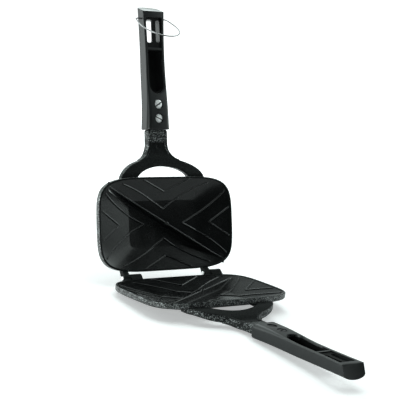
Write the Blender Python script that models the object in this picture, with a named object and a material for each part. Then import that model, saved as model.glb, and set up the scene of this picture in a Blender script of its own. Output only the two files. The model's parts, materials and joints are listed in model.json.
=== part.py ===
"""Stovetop sandwich toaster, standing open: two cast trays hinged along one long edge.

Each tray carries an arch bracket, a neck and a moulded handle. The lid handle has a wire hanging loop.
Each half is modelled in its own frame: X along the hinge, Y from the hinge axis towards the handle
end, and Z out of the cooking side, with the parting plane at Z = 0. Two empties on the hinge axis
place the halves: one turns the base half round, the other stands the lid half up.
"""

import math

import bmesh
import bpy
from mathutils import Matrix, Vector

MM = 0.001

# The trays, as the distances from the middle of the tray to its edges
TRAY_HALF_WIDTH = 115.5 * MM
TRAY_HALF_DEPTH = 65.5 * MM
TRAY_POWER = 4.9
TRAY_BOW_SHARE = 0.017
HINGE_SETBACK = 7.0 * MM
PARTING_GAP = 0.4 * MM
RIM_LAND = 2.6 * MM
RIM_CHAMFER = 0.6 * MM
RIM_STEP = 0.8 * MM
SKIRT_HEIGHT = 9.0 * MM
SKIRT_ROUND = 2.6 * MM
SKIRT_ROUND_SHARE = 1 - math.sqrt(0.5)
POCKET_DEPTH = 12.4 * MM
FLOOR_WALL = 3.1 * MM
FLOOR_INSET_X = 58.5 * MM
FLOOR_INSET_Y = 33.5 * MM
FLOOR_POWER = 12.0
UNDERSIDE_INSET_X = 37.5 * MM
UNDERSIDE_INSET_Y = 19.5 * MM
UNDERSIDE_POWER = 7.0
RING_POINTS = 80
POCKET_STEPS = 4

# The dividing rib, which runs from the far corner of one side to the near corner of the other
RIB_INSET_X = 13.5 * MM
RIB_INSET_Y = 10.5 * MM
RIB_DROP = 3.0 * MM
RIB_CREST = 2.0 * MM
RIB_FOOT = 6.5 * MM
RIB_SUNK = 1.5 * MM
POST_RADIUS = 2.4 * MM
POST_RISE = 1.2 * MM

# The raised chevrons, as shares of the tray's half width and half depth
CHEVRON_HEIGHT = 1.3 * MM
CHEVRON_FOOT = 2.6 * MM
CHEVRON_TOP = 1.2 * MM
CHEVRON_SUNK = 0.9 * MM
CHEVRON_DROP = 0.9 * MM
CHEVRON_MITRE_LIMIT = 0.3
LONG_SIDE_OUTER_SHARES = ((0.0, 0.68), (0.36, 0.955))
LONG_SIDE_INNER_SHARES = ((0.0, 0.31), (0.33, 0.70), (0.66, 0.865))
SHORT_SIDE_OUTER_SHARES = ((0.69, 0.0), (0.975, 0.32))
SHORT_SIDE_INNER_SHARES = ((0.295, 0.0), (0.70, 0.30), (0.92, 0.70))
CURVED_LEG_STEPS = 7

# Small pips under the skirt, in pairs on the short sides
PIP_RADIUS = 2.4 * MM
PIP_DROP = 1.6 * MM
PIP_SPACING = 12.0 * MM
PIP_INSET = 6.0 * MM
PIP_SUNK = 3.0 * MM

# The arch bracket, cast with the tray
ARCH_INSET = 41.5 * MM
ARCH_REACH = 33.5 * MM
ARCH_SETBACK = 6.0 * MM
OPENING_HALF_WIDTH = 47.6 * MM
OPENING_REACH = 22.8 * MM
OPENING_SETBACK = 8.0 * MM
ARCH_FOOT = 9.0 * MM
ARCH_TOP_DROP = 7.0 * MM
ARCH_THICKNESS = 8.3 * MM
ARCH_CHAMFER = 0.9 * MM
ARCH_STEPS = 30

# The neck with its collar, and the tang inside the handle
NECK_LENGTH = 39.5 * MM
NECK_ROOT = 6.5 * MM
NECK_HALF_WIDTH = 16.5 * MM
NECK_FLARE = 24.0 * MM
NECK_FLARE_TURN = math.radians(76)
NECK_FLARE_SHARE = 0.519
NECK_TOP_DROP = 17.0 * MM
NECK_STEPS = 10
NECK_THICKNESS = 12.0 * MM
CRANK_START = 2.0 * MM
CRANK_LENGTH = 38.0 * MM
COLLAR_SHARE = 0.4304
COLLAR_ROUND = 3.0 * MM
COLLAR_ROUND_SHARE = 0.3
FLANGE_WIDTH = 3.2 * MM
WEB_DROP = 2.2 * MM
WEB_INSET = 1.5 * MM
WEB_RAMP = 9.0 * MM
DIMPLE_RADIUS = 1.7 * MM
DIMPLE_DEPTH = 1.1 * MM
DIMPLE_INSET = 7.0 * MM
TANG_HALF_WIDTH = 10.0 * MM
TANG_THICKNESS = 7.0 * MM
TANG_LENGTH = 47.0 * MM
TANG_DROP = 19.5 * MM

# The handles
HANDLE_LENGTH = 167.5 * MM
HANDLE_NECK_HALF_WIDTH = 20.2 * MM
HANDLE_WAIST_HALF_WIDTH = 16.6 * MM
HANDLE_END_HALF_WIDTH = 18.6 * MM
HANDLE_WAIST_SHARE = 0.62
HANDLE_NECK_CURVE = 1.7
HANDLE_END_CURVE = 2.0
HANDLE_NECK_DROP = 13.0 * MM
HANDLE_GRIP_DROP = 18.4 * MM
HANDLE_END_DROP = 19.8 * MM
HANDLE_DIP_SHARES = (0.10, 0.58)
HANDLE_SIDE_DEPTH_NECK = 16.0 * MM
HANDLE_SIDE_DEPTH_END = 12.4 * MM
HANDLE_BACK_DROP_NECK = 35.5 * MM
HANDLE_BACK_DROP_END = 38.6 * MM
HANDLE_NECK_ROUND = 6.5 * MM
HANDLE_GRIP_ROUND = 1.3 * MM
HANDLE_ROUND_SHARE = 0.55
HANDLE_ROUND_LIMIT_SHARE = 0.95
HANDLE_END_SLANT = math.radians(22)
HANDLE_EDGE = 1.2 * MM
HANDLE_STATIONS = 14
HANDLE_ROUND_STEPS = 3
HANDLE_BACK_STEPS = 12

# The recess in each handle's face, set out from the handle's end: a window with a bar above a cross
# rib, and a deep pocket below it
RECESS_MARGIN = 8.5 * MM
RECESS_LENGTH = 109.0 * MM
RECESS_FRAME = 3.6 * MM
RECESS_DEPTH = 2.2 * MM
RECESS_BEVEL = 0.8 * MM
RECESS_CORNER = 1.5 * MM
RECESS_TIP = 0.3 * MM
RECESS_END_STEPS = 6
RECESS_CORNER_STEPS = 3
CROSS_RIB_SETBACK = 53.2 * MM
CROSS_RIB_WIDTH = 3.2 * MM
CROSS_RIB_DROP = 0.7 * MM
DEEP_MARGIN = 2.4 * MM
DEEP_DEPTH = 11.0 * MM
WINDOW_MARGIN = 12.5 * MM
WINDOW_LENGTH = 32.0 * MM
WINDOW_CORNER = 3.2 * MM
WINDOW_CORNER_STEPS = 3
WINDOW_BAR_WIDTH = 3.4 * MM
WINDOW_BAR_DEPTH = 2.2 * MM

# The handle screws
INNER_SCREW_SETBACK = 15.7 * MM
SCREW_SPACING = 19.9 * MM
SCREW_TURNS = (math.radians(-25), math.radians(30))
SCREW_HEAD_RADIUS = 6.3 * MM
SCREW_HEAD_HEIGHT = 1.7 * MM
SCREW_DOME = 0.7 * MM
SCREW_DOME_STEPS = ((0.8, 0.6), (0.4, 1.0))
SCREW_SHANK_RADIUS = 2.4 * MM
SCREW_SLOT_WIDTH = 1.5 * MM
SCREW_SLOT_DEPTH = 1.1 * MM
SCREW_SEAT_DROP = 16.6 * MM
SCREW_TIP_DROP = 25.5 * MM

# The hinge: at each end a lid lug and a base lug side by side on one pin
HINGE_INSET = 44.75 * MM
LUG_GAP = 0.7 * MM
LID_LUG_WIDTH = 9.5 * MM
BASE_LUG_WIDTH = 19.0 * MM
KNUCKLE_RADIUS = 4.8 * MM
KNUCKLE_START = math.radians(45)
KNUCKLE_TURN = math.radians(216)
KNUCKLE_STEPS = 12
LUG_TOP_DROP = 0.5 * MM
LUG_FOOT_DROP = 8.2 * MM
LUG_ROOT = 5.0 * MM
PIN_RADIUS = 1.5 * MM
PIN_HEAD_RADIUS = 2.8 * MM
PIN_HEAD_HEIGHT = 1.2 * MM
PIN_DOME_SHARE = 0.6
HEEL_HEIGHT = 4.0 * MM
HEEL_DROP = 2.0 * MM
LID_LEAN = math.radians(12.6)

# The hanging loop
LOOP_PIVOT_SETBACK = 10.5 * MM
LOOP_PIVOT_DROP = 26.5 * MM
LOOP_PITCH = math.radians(34)
LOOP_WIRE = 1.8 * MM
LOOP_HALF_WIDTH = 31.0 * MM
LOOP_SHOULDER = 28.3 * MM
LOOP_CORNER = 5.0 * MM
LOOP_REACH = 51.5 * MM
LOOP_TIP_REACH = 29.5 * MM
LOOP_TAIL_SUNK = 4.6 * MM
LOOP_HOLE_DEPTH = 6.0 * MM
LOOP_HOLE_RADIUS = 1.3 * MM
LOOP_CORNER_STEPS = 4
LOOP_TIP_STEPS = 22

# Clearances and working amounts
CLEARANCE = 0.3 * MM
SKIM = 0.03 * MM
OVERRUN = 12.0 * MM
OVERLAP = 1.0 * MM
ROUND_SIDES = 20
CREASE = math.radians(35)
SEARCH_STEPS = 24

TRAY_MIDDLE = HINGE_SETBACK + TRAY_HALF_DEPTH
TRAY_FAR_EDGE = TRAY_MIDDLE + TRAY_HALF_DEPTH
RIM_Z = -PARTING_GAP / 2
FLOOR_Z = -POCKET_DEPTH
UNDERSIDE_Z = FLOOR_Z - FLOOR_WALL
FLOOR_HALF_WIDTH = TRAY_HALF_WIDTH - FLOOR_INSET_X
FLOOR_HALF_DEPTH = TRAY_HALF_DEPTH - FLOOR_INSET_Y
UNDERSIDE_HALF_WIDTH = TRAY_HALF_WIDTH - UNDERSIDE_INSET_X
UNDERSIDE_HALF_DEPTH = TRAY_HALF_DEPTH - UNDERSIDE_INSET_Y
POCKET_HALF_WIDTH = TRAY_HALF_WIDTH - RIM_LAND
POCKET_HALF_DEPTH = TRAY_HALF_DEPTH - RIM_LAND
POCKET_TOP_Z = RIM_Z - RIM_STEP
RIB_END_X = TRAY_HALF_WIDTH - RIB_INSET_X
RIB_END_Y = TRAY_HALF_DEPTH - RIB_INSET_Y
ARCH_HALF_WIDTH = TRAY_HALF_WIDTH - ARCH_INSET
CRANK_START_Y = TRAY_FAR_EDGE + CRANK_START
ARCH_APEX_Y = TRAY_FAR_EDGE - ARCH_SETBACK + ARCH_REACH
HANDLE_START = ARCH_APEX_Y + NECK_LENGTH
HANDLE_END = HANDLE_START + HANDLE_LENGTH
NECK_START_Y = ARCH_APEX_Y - NECK_ROOT
NECK_FLARE_END_Y = ARCH_APEX_Y + NECK_LENGTH * NECK_FLARE_SHARE
COLLAR_START_Y = HANDLE_START - NECK_LENGTH * COLLAR_SHARE
WEB_START_Y = ARCH_APEX_Y - WEB_INSET
DIMPLE_Y = COLLAR_START_Y - DIMPLE_INSET
SCREW_Y = (HANDLE_START + INNER_SCREW_SETBACK, HANDLE_START + INNER_SCREW_SETBACK + SCREW_SPACING)
RECESS_END = HANDLE_END - RECESS_MARGIN
RECESS_START = RECESS_END - RECESS_LENGTH
CROSS_RIB_Y = HANDLE_END - CROSS_RIB_SETBACK
WINDOW_END = HANDLE_END - WINDOW_MARGIN
WINDOW_START = WINDOW_END - WINDOW_LENGTH
HINGE_X = TRAY_HALF_WIDTH - HINGE_INSET
BORE_RADIUS = PIN_RADIUS + CLEARANCE
LOOP_PIVOT_Y = HANDLE_END - LOOP_PIVOT_SETBACK


def blend(a, b, share):
    """The value that lies the given share of the way from a to b."""
    return a + (b - a) * share


def smooth(share):
    """A share from 0 to 1, eased at both ends."""
    share = min(max(share, 0.0), 1.0)
    return share * share * (3.0 - 2.0 * share)


def material(name, colour, roughness, metallic):
    """One Principled material."""
    made = bpy.data.materials.new(name)
    made.use_nodes = True
    shader = made.node_tree.nodes["Principled BSDF"]
    shader.inputs["Base Color"].default_value = (*colour, 1.0)
    shader.inputs["Roughness"].default_value = roughness
    shader.inputs["Metallic"].default_value = metallic
    return made


def empty(name, parent=None, location=(0, 0, 0), rotation=(0, 0, 0)):
    """A parent empty."""
    made = bpy.data.objects.new(name, None)
    bpy.context.scene.collection.objects.link(made)
    made.parent = parent
    made.location = location
    made.rotation_euler = rotation
    return made


def link(name, data, parent, finish=None):
    """Links an object under its parent, with its material."""
    made = bpy.data.objects.new(name, data)
    bpy.context.scene.collection.objects.link(made)
    made.parent = parent
    if finish:
        data.materials.append(finish)
    return made


def loft(name, sections, parent, finish=None):
    """A closed body through sections of equally many points, with a flat cap on each end."""
    shape = bmesh.new()
    rings = [[shape.verts.new(point) for point in section] for section in sections]
    for low, high in zip(rings, rings[1:]):
        for i in range(len(low)):
            j = (i + 1) % len(low)
            shape.faces.new((low[i], low[j], high[j], high[i]))
    shape.faces.new(rings[0])
    shape.faces.new(rings[-1])
    bmesh.ops.recalc_face_normals(shape, faces=shape.faces)
    mesh = bpy.data.meshes.new(name)
    shape.to_mesh(mesh)
    shape.free()
    mesh.shade_smooth()
    mesh.set_sharp_from_angle(angle=CREASE)
    return link(name, mesh, parent, finish)


def as_tool(tool):
    """Keeps a body that only shapes another one out of the model."""
    tool.hide_render = True
    tool.display_type = "WIRE"
    return tool


def shape_with(body, operation, tools):
    """Joins tools to a body, or cuts them from it."""
    for tool in tools:
        step = body.modifiers.new(tool.name, "BOOLEAN")
        step.operation = operation
        step.object = as_tool(tool)


def bow(along):
    """How much wider the tray is than its superellipse, at a share of its half depth."""
    return 1 + TRAY_BOW_SHARE * (1 - along**2)


def oval(half_x, half_y, power, z, middle_y=0.0):
    """A superellipse with bowed short sides in an XY plane, with its points drawn towards the corners."""
    points = []
    for i in range(RING_POINTS):
        turn = 2 * math.pi * i / RING_POINTS
        turn += math.sin(4 * turn) / 8
        across, along = math.cos(turn), math.sin(turn)
        scale = (abs(across) ** power + abs(along) ** power) ** (-1 / power)
        across, along = scale * across, scale * along
        points.append(Vector((half_x * bow(along) * across, middle_y + half_y * along, z)))
    return points


def disc(radius, centre, axis="Z", sides=ROUND_SIDES):
    """A ring of points round a centre, square to an axis."""
    turned = {"X": Matrix.Rotation(math.pi / 2, 3, "Y"), "Z": Matrix.Identity(3)}[axis]
    turns = [2 * math.pi * i / sides for i in range(sides)]
    return [Vector(centre) + turned @ Vector((radius * math.cos(t), radius * math.sin(t), 0)) for t in turns]


def rod(name, start, end, radius, parent, axis="Z"):
    """A round bar between two points on an axis."""
    return loft(name, [disc(radius, start, axis), disc(radius, end, axis)], parent)


def slab(name, x_range, y_range, z_range, parent):
    """A square block."""
    (left, right), (near, far) = x_range, y_range
    outline = ((left, near), (right, near), (right, far), (left, far))
    return loft(name, [[Vector((x, y, z)) for x, y in outline] for z in z_range], parent)


def pocket_ring(share, z):
    """The pocket's outline at a share of the way from its floor to its top."""
    return oval(
        blend(FLOOR_HALF_WIDTH, POCKET_HALF_WIDTH, share),
        blend(FLOOR_HALF_DEPTH, POCKET_HALF_DEPTH, share),
        blend(FLOOR_POWER, TRAY_POWER, share),
        z,
        TRAY_MIDDLE,
    )


def pocket_height(x, y):
    """The height of the pocket's surface at a point, measured from the middle of the tray."""

    def inside(share):
        along = min(abs(y) / blend(FLOOR_HALF_DEPTH, POCKET_HALF_DEPTH, share), 1.0)
        across = abs(x) / blend(FLOOR_HALF_WIDTH, POCKET_HALF_WIDTH, share) / bow(along)
        power = blend(FLOOR_POWER, TRAY_POWER, share)
        return across**power + along**power <= 1

    if inside(0.0):
        return FLOOR_Z
    low, high = 0.0, 1.0
    for _ in range(SEARCH_STEPS):
        middle = (low + high) / 2
        low, high = (low, middle) if inside(middle) else (middle, high)
    return blend(FLOOR_Z, POCKET_TOP_Z, high)


def tray(name, parent, finish):
    """The dished tray: underside, skirt, rim and pocket in one surface."""
    foot_z = -SKIRT_HEIGHT

    def outer(inset, z):
        return oval(TRAY_HALF_WIDTH - inset, TRAY_HALF_DEPTH - inset, TRAY_POWER, z, TRAY_MIDDLE)

    sections = [
        oval(UNDERSIDE_HALF_WIDTH, UNDERSIDE_HALF_DEPTH, UNDERSIDE_POWER, UNDERSIDE_Z, TRAY_MIDDLE),
        outer(SKIRT_ROUND, foot_z),
        outer(SKIRT_ROUND * SKIRT_ROUND_SHARE, foot_z + SKIRT_ROUND * SKIRT_ROUND_SHARE),
        outer(0.0, foot_z + SKIRT_ROUND),
        outer(0.0, RIM_Z - RIM_CHAMFER),
        outer(RIM_CHAMFER, RIM_Z),
        outer(RIM_LAND, RIM_Z),
    ]
    for step in range(POCKET_STEPS + 1):
        share = 1 - step / POCKET_STEPS
        sections.append(pocket_ring(share, blend(FLOOR_Z, POCKET_TOP_Z, share)))
    return loft(name, sections, parent, finish)


def dividing_rib(name, parent, hand):
    """The straight rib across the pocket, with a round post at its middle."""
    along = Vector((-hand * RIB_END_X, RIB_END_Y, 0))
    across = Vector((-along.y, along.x, 0)).normalized()
    crest_z, foot_z = RIM_Z - RIB_DROP, FLOOR_Z - RIB_SUNK
    sections = []
    for end in (along, -along):
        middle = end + Vector((0, TRAY_MIDDLE, 0))
        sections.append([
            middle - across * RIB_FOOT / 2 + Vector((0, 0, foot_z)),
            middle + across * RIB_FOOT / 2 + Vector((0, 0, foot_z)),
            middle + across * RIB_CREST / 2 + Vector((0, 0, crest_z)),
            middle - across * RIB_CREST / 2 + Vector((0, 0, crest_z)),
        ])
    rib = loft(name, sections, parent)
    post = rod(
        name + "_post",
        (0, TRAY_MIDDLE, foot_z),
        (0, TRAY_MIDDLE, crest_z + POST_RISE),
        POST_RADIUS,
        parent,
    )
    return [rib, post]


def chevron_legs():
    """The paths of the raised lines in one quarter of the pocket, from the tray's middle outwards."""
    size = (TRAY_HALF_WIDTH, TRAY_HALF_DEPTH)
    legs = []
    for shares in (LONG_SIDE_OUTER_SHARES, SHORT_SIDE_OUTER_SHARES):
        legs.append([Vector((x * size[0], y * size[1])) for x, y in shares])
    for shares in (LONG_SIDE_INNER_SHARES, SHORT_SIDE_INNER_SHARES):
        start, bend, end = [Vector((x * size[0], y * size[1])) for x, y in shares]
        curve = []
        for i in range(CURVED_LEG_STEPS + 1):
            t = i / CURVED_LEG_STEPS
            curve.append(start.lerp(bend, t).lerp(bend.lerp(end, t), t))
        legs.append(curve)
    return legs


def raised_line(name, path, parent):
    """A low ridge that follows the pocket's surface along a path."""
    sections = []
    for i, point in enumerate(path):
        before, after = path[max(i - 1, 0)], path[min(i + 1, len(path) - 1)]
        ways = [way.normalized() for way in (point - before, after - point) if way.length > 0]
        way = sum(ways, Vector((0, 0))).normalized()
        side = Vector((-way.y, way.x)) / max(way.dot(ways[0]), CHEVRON_MITRE_LIMIT)
        section = []
        for reach, rise in (
            (-CHEVRON_FOOT / 2, -CHEVRON_SUNK),
            (CHEVRON_FOOT / 2, -CHEVRON_SUNK),
            (CHEVRON_TOP / 2, CHEVRON_HEIGHT),
            (-CHEVRON_TOP / 2, CHEVRON_HEIGHT),
        ):
            spot = point + side * reach
            z = min(pocket_height(spot.x, spot.y) + rise, RIM_Z - CHEVRON_DROP)
            section.append(Vector((spot.x, TRAY_MIDDLE + spot.y, z)))
        sections.append(section)
    return loft(name, sections, parent)


def chevrons(name, parent):
    """Two nested chevrons on each side of the tray, each one ridge from leg end to leg end."""
    ridges = []
    for number, leg in enumerate(chevron_legs()):
        on_long_side = number % 2 == 0
        for side in (-1, 1):
            turned = Vector((1, side)) if on_long_side else Vector((side, 1))
            mirror = Vector((-1, 1)) if on_long_side else Vector((1, -1))
            one = [point * turned for point in leg]
            other = [point * mirror for point in one]
            path = list(reversed(other)) + one[1:]
            ridges.append(raised_line(f"{name}_{len(ridges) + 1}", path, parent))
    return ridges


def underside_pips(name, parent):
    """Round pips under the middle of the short sides."""
    pips = []
    for side in (-1, 1):
        for step in (-1, 1):
            x = side * (TRAY_HALF_WIDTH - PIP_INSET)
            y = TRAY_MIDDLE + step * PIP_SPACING / 2
            z = -SKIRT_HEIGHT
            label = f"{name}_{len(pips) + 1}"
            pips.append(rod(label, (x, y, z + PIP_SUNK), (x, y, z - PIP_DROP), PIP_RADIUS, parent))
    return pips


def bracket_top(y):
    """The height of the bracket's upper face, which cranks down from the arch to the neck."""
    share = smooth((y - CRANK_START_Y) / CRANK_LENGTH)
    return -blend(ARCH_TOP_DROP, NECK_TOP_DROP, share)


def bracket_underside(y):
    """The height of the bracket's lower face."""
    share = smooth((y - CRANK_START_Y) / CRANK_LENGTH)
    return bracket_top(y) - blend(ARCH_THICKNESS, NECK_THICKNESS, share)


def arch(name, parent):
    """The flat band that springs from the tray's far edge and closes over the opening."""
    outer_middle = TRAY_FAR_EDGE - ARCH_SETBACK
    inner_middle = TRAY_FAR_EDGE - OPENING_SETBACK
    pairs = []
    for i in range(ARCH_STEPS + 1):
        turn = math.pi * i / ARCH_STEPS
        outer = Vector((ARCH_HALF_WIDTH * math.cos(turn), outer_middle + ARCH_REACH * math.sin(turn)))
        inner = Vector((OPENING_HALF_WIDTH * math.cos(turn), inner_middle + OPENING_REACH * math.sin(turn)))
        pairs.append((outer, inner))
    root = Vector((0, -ARCH_FOOT))
    pairs.insert(0, tuple(point + root for point in pairs[0]))
    pairs.append(tuple(point + root for point in pairs[-1]))
    sections = []
    for outer, inner in pairs:
        inward = (inner - outer).normalized() * ARCH_CHAMFER
        section = []
        for spot, top, drop in (
            (outer, False, 0.0),
            (outer, True, ARCH_CHAMFER),
            (outer + inward, True, 0.0),
            (inner - inward, True, 0.0),
            (inner, True, ARCH_CHAMFER),
            (inner, False, 0.0),
        ):
            z = bracket_top(spot.y) - drop if top else bracket_underside(spot.y)
            section.append(Vector((spot.x, spot.y, z)))
        sections.append(section)
    return loft(name, sections, parent)


def neck_half_width(y):
    """The neck's half width, which flares into the arch."""
    below = min(max((NECK_FLARE_END_Y - y) / NECK_FLARE, 0.0), math.sin(NECK_FLARE_TURN))
    return NECK_HALF_WIDTH + NECK_FLARE * (1 - math.cos(math.asin(below)))


def neck(name, parent):
    """The flared neck and its collar, up to the handle."""
    end = HANDLE_START - CLEARANCE
    flare = [blend(NECK_START_Y, NECK_FLARE_END_Y, i / NECK_STEPS) for i in range(NECK_STEPS + 1)]
    stations = flare + [COLLAR_START_Y, end - COLLAR_ROUND, end - COLLAR_ROUND * COLLAR_ROUND_SHARE, end]
    insets = [0.0] * (len(stations) - 2) + [COLLAR_ROUND * COLLAR_ROUND_SHARE, COLLAR_ROUND]
    sections = []
    for y, inset in zip(stations, insets):
        half = neck_half_width(y) - inset
        top, low = bracket_top(y), bracket_underside(y)
        sections.append([
            Vector((-half, y, low)),
            Vector((half, y, low)),
            Vector((half, y, top - ARCH_CHAMFER)),
            Vector((half - ARCH_CHAMFER, y, top)),
            Vector((ARCH_CHAMFER - half, y, top)),
            Vector((-half, y, top - ARCH_CHAMFER)),
        ])
    return loft(name, sections, parent)


def neck_recess(name, parent):
    """The cutters for the recessed web between the neck's flanges, and for its dimple."""
    sections = []
    for i in range(NECK_STEPS + 1):
        y = blend(WEB_START_Y, COLLAR_START_Y, i / NECK_STEPS)
        half = neck_half_width(y) - FLANGE_WIDTH
        drop = WEB_DROP * smooth((y - WEB_START_Y) / WEB_RAMP)
        low = bracket_top(y) - drop + SKIM
        high = low + OVERRUN
        outline = ((-half, low), (half, low), (half, high), (-half, high))
        sections.append([Vector((x, y, z)) for x, z in outline])
    web = loft(name + "_web", sections, parent)
    floor = bracket_top(DIMPLE_Y) - WEB_DROP
    dimple = rod(
        name + "_dimple",
        (0, DIMPLE_Y, floor - DIMPLE_DEPTH),
        (0, DIMPLE_Y, floor + OVERRUN),
        DIMPLE_RADIUS,
        parent,
    )
    return [web, dimple]


def tang(name, parent):
    """The tongue that the handle is screwed to."""
    start = HANDLE_START - CLEARANCE - OVERLAP
    return slab(
        name,
        (-TANG_HALF_WIDTH, TANG_HALF_WIDTH),
        (start, HANDLE_START + TANG_LENGTH),
        (-TANG_DROP - TANG_THICKNESS, -TANG_DROP),
        parent,
    )


def lug_spans(hand):
    """The lug's two X ranges in the half's own frame, and the same for the pins."""
    width = LID_LUG_WIDTH if hand > 0 else BASE_LUG_WIDTH
    spans = []
    for hinge in (-HINGE_X, HINGE_X):
        near = hinge - LUG_GAP / 2 if hand > 0 else -hinge - LUG_GAP / 2
        spans.append((near - width, near))
    return spans


def near_edge(x):
    """The distance from the hinge axis to the tray's near edge at x."""
    share = (1 - (abs(x) / TRAY_HALF_WIDTH) ** TRAY_POWER) ** (1 / TRAY_POWER)
    return TRAY_MIDDLE - TRAY_HALF_DEPTH * share


def lug(name, span, parent, heel):
    """A hinge lug: a knuckle round the axis and an arm into the skirt, with a stop heel on the lid."""
    turns = [KNUCKLE_START + KNUCKLE_TURN * i / KNUCKLE_STEPS for i in range(KNUCKLE_STEPS + 1)]
    knuckle = [(KNUCKLE_RADIUS * math.cos(t), KNUCKLE_RADIUS * math.sin(t)) for t in turns]
    outline = knuckle
    if heel:
        reach = near_edge(min(abs(x) for x in span)) - CLEARANCE
        corners = [(-reach, -HEEL_DROP), (-reach, -HEEL_DROP - HEEL_HEIGHT), (0.0, -HEEL_DROP - HEEL_HEIGHT)]
        lean_sin, lean_cos = math.sin(LID_LEAN), math.cos(LID_LEAN)
        heel_points = [(y * lean_sin + z * lean_cos, z * lean_sin - y * lean_cos) for y, z in corners]
        outline = hull(knuckle + heel_points)
        start = outline.index(knuckle[0])
        outline = outline[start:] + outline[:start]
    edge = near_edge(min(abs(x) for x in span))
    root = near_edge(max(abs(x) for x in span)) + LUG_ROOT
    outline = outline + [
        (edge, -LUG_FOOT_DROP),
        (root, -LUG_FOOT_DROP),
        (root, -LUG_TOP_DROP - RIM_STEP * 2),
        (edge - CLEARANCE, -LUG_TOP_DROP),
    ]
    return loft(name, [[Vector((x, y, z)) for y, z in outline] for x in span], parent)


def turns_back(a, b, c):
    """Whether the way from a over b to c doesn't turn left."""
    return (b[0] - a[0]) * (c[1] - a[1]) - (b[1] - a[1]) * (c[0] - a[0]) <= 0


def hull_chain(run):
    """One side of the convex outline round points that are in order."""
    kept = []
    for point in run:
        while len(kept) > 1 and turns_back(kept[-2], kept[-1], point):
            kept.pop()
        kept.append(point)
    return kept[:-1]


def hull(points):
    """The convex outline round flat points, in order."""
    ordered = sorted(set(points))
    return hull_chain(ordered) + hull_chain(ordered[::-1])


def casting(name, frame, hand, finish):
    """One cast half: tray, ribs, bracket, neck, tang and hinge lugs in one piece."""
    body = tray(name, frame, finish)
    joined = dividing_rib(name + "_rib", frame, hand)
    joined += chevrons(name + "_chevron", frame)
    joined += underside_pips(name + "_pip", frame)
    joined += [arch(name + "_arch", frame), neck(name + "_neck", frame), tang(name + "_tang", frame)]
    for number, span in enumerate(lug_spans(hand)):
        joined.append(lug(f"{name}_lug_{number + 1}", span, frame, heel=hand > 0))
    shape_with(body, "UNION", joined)
    cuts = neck_recess(name + "_recess", frame)
    for number, span in enumerate(lug_spans(hand)):
        low, high = span[0] - OVERLAP, span[1] + OVERLAP
        cuts.append(rod(f"{name}_bore_{number + 1}", (low, 0, 0), (high, 0, 0), BORE_RADIUS, frame, "X"))
    for number, y in enumerate(SCREW_Y):
        bottom, top = -TANG_DROP - TANG_THICKNESS - OVERLAP, -TANG_DROP + OVERLAP
        radius = SCREW_SHANK_RADIUS + CLEARANCE
        cuts.append(rod(f"{name}_screw_hole_{number + 1}", (0, y, bottom), (0, y, top), radius, frame))
    shape_with(body, "DIFFERENCE", cuts)
    return body


def handle_share(y):
    """How far along the handle y lies, from its start to its end."""
    return (y - HANDLE_START) / HANDLE_LENGTH


def handle_half_width(y):
    """Widest at the neck, narrow at the waist and a little wider again at the end."""
    share = handle_share(y)
    if share < HANDLE_WAIST_SHARE:
        away = 1 - share / HANDLE_WAIST_SHARE
        return blend(HANDLE_WAIST_HALF_WIDTH, HANDLE_NECK_HALF_WIDTH, away**HANDLE_NECK_CURVE)
    away = (share - HANDLE_WAIST_SHARE) / (1 - HANDLE_WAIST_SHARE)
    return blend(HANDLE_WAIST_HALF_WIDTH, HANDLE_END_HALF_WIDTH, away**HANDLE_END_CURVE)


def handle_face(y):
    """The height of the handle's face, which dips from the screws to the grip."""
    share = handle_share(y)
    dip = smooth((share - HANDLE_DIP_SHARES[0]) / (HANDLE_DIP_SHARES[1] - HANDLE_DIP_SHARES[0]))
    end = max(share - HANDLE_DIP_SHARES[1], 0.0) / (1 - HANDLE_DIP_SHARES[1])
    drop = blend(HANDLE_NECK_DROP, HANDLE_GRIP_DROP, dip)
    return -(drop + (HANDLE_END_DROP - HANDLE_GRIP_DROP) * end)


def handle_section(y, inset=0.0, slant=0.0):
    """The handle's outline at y: a flat face, flat sides and a rounded back."""
    share = handle_share(y)
    half = handle_half_width(y) - inset
    face = handle_face(y) - inset
    side_foot = handle_face(y) - blend(HANDLE_SIDE_DEPTH_NECK, HANDLE_SIDE_DEPTH_END, share)
    back = -blend(HANDLE_BACK_DROP_NECK, HANDLE_BACK_DROP_END, share) + inset
    corner = blend(HANDLE_NECK_ROUND, HANDLE_GRIP_ROUND, smooth(share / HANDLE_ROUND_SHARE))
    corner = min(corner, (face - side_foot) * HANDLE_ROUND_LIMIT_SHARE)
    outline = []
    for side in (1, -1):
        arc = []
        for i in range(HANDLE_ROUND_STEPS + 1):
            turn = math.pi / 2 * i / HANDLE_ROUND_STEPS
            out = half - corner + corner * math.sin(turn)
            arc.append((side * out, face - corner + corner * math.cos(turn)))
        outline += arc if side > 0 else arc[::-1]
        if side > 0:
            for i in range(HANDLE_BACK_STEPS + 1):
                turn = math.pi * i / HANDLE_BACK_STEPS
                outline.append((half * math.cos(turn), side_foot - (side_foot - back) * math.sin(turn)))
    return [Vector((x, y + (face - z) * slant, z)) for x, z in outline]


def recess_half_width(y, inset):
    """The recess's half width at y, inside the frame that the face leaves round it."""
    return handle_half_width(y) - RECESS_FRAME - inset


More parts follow.
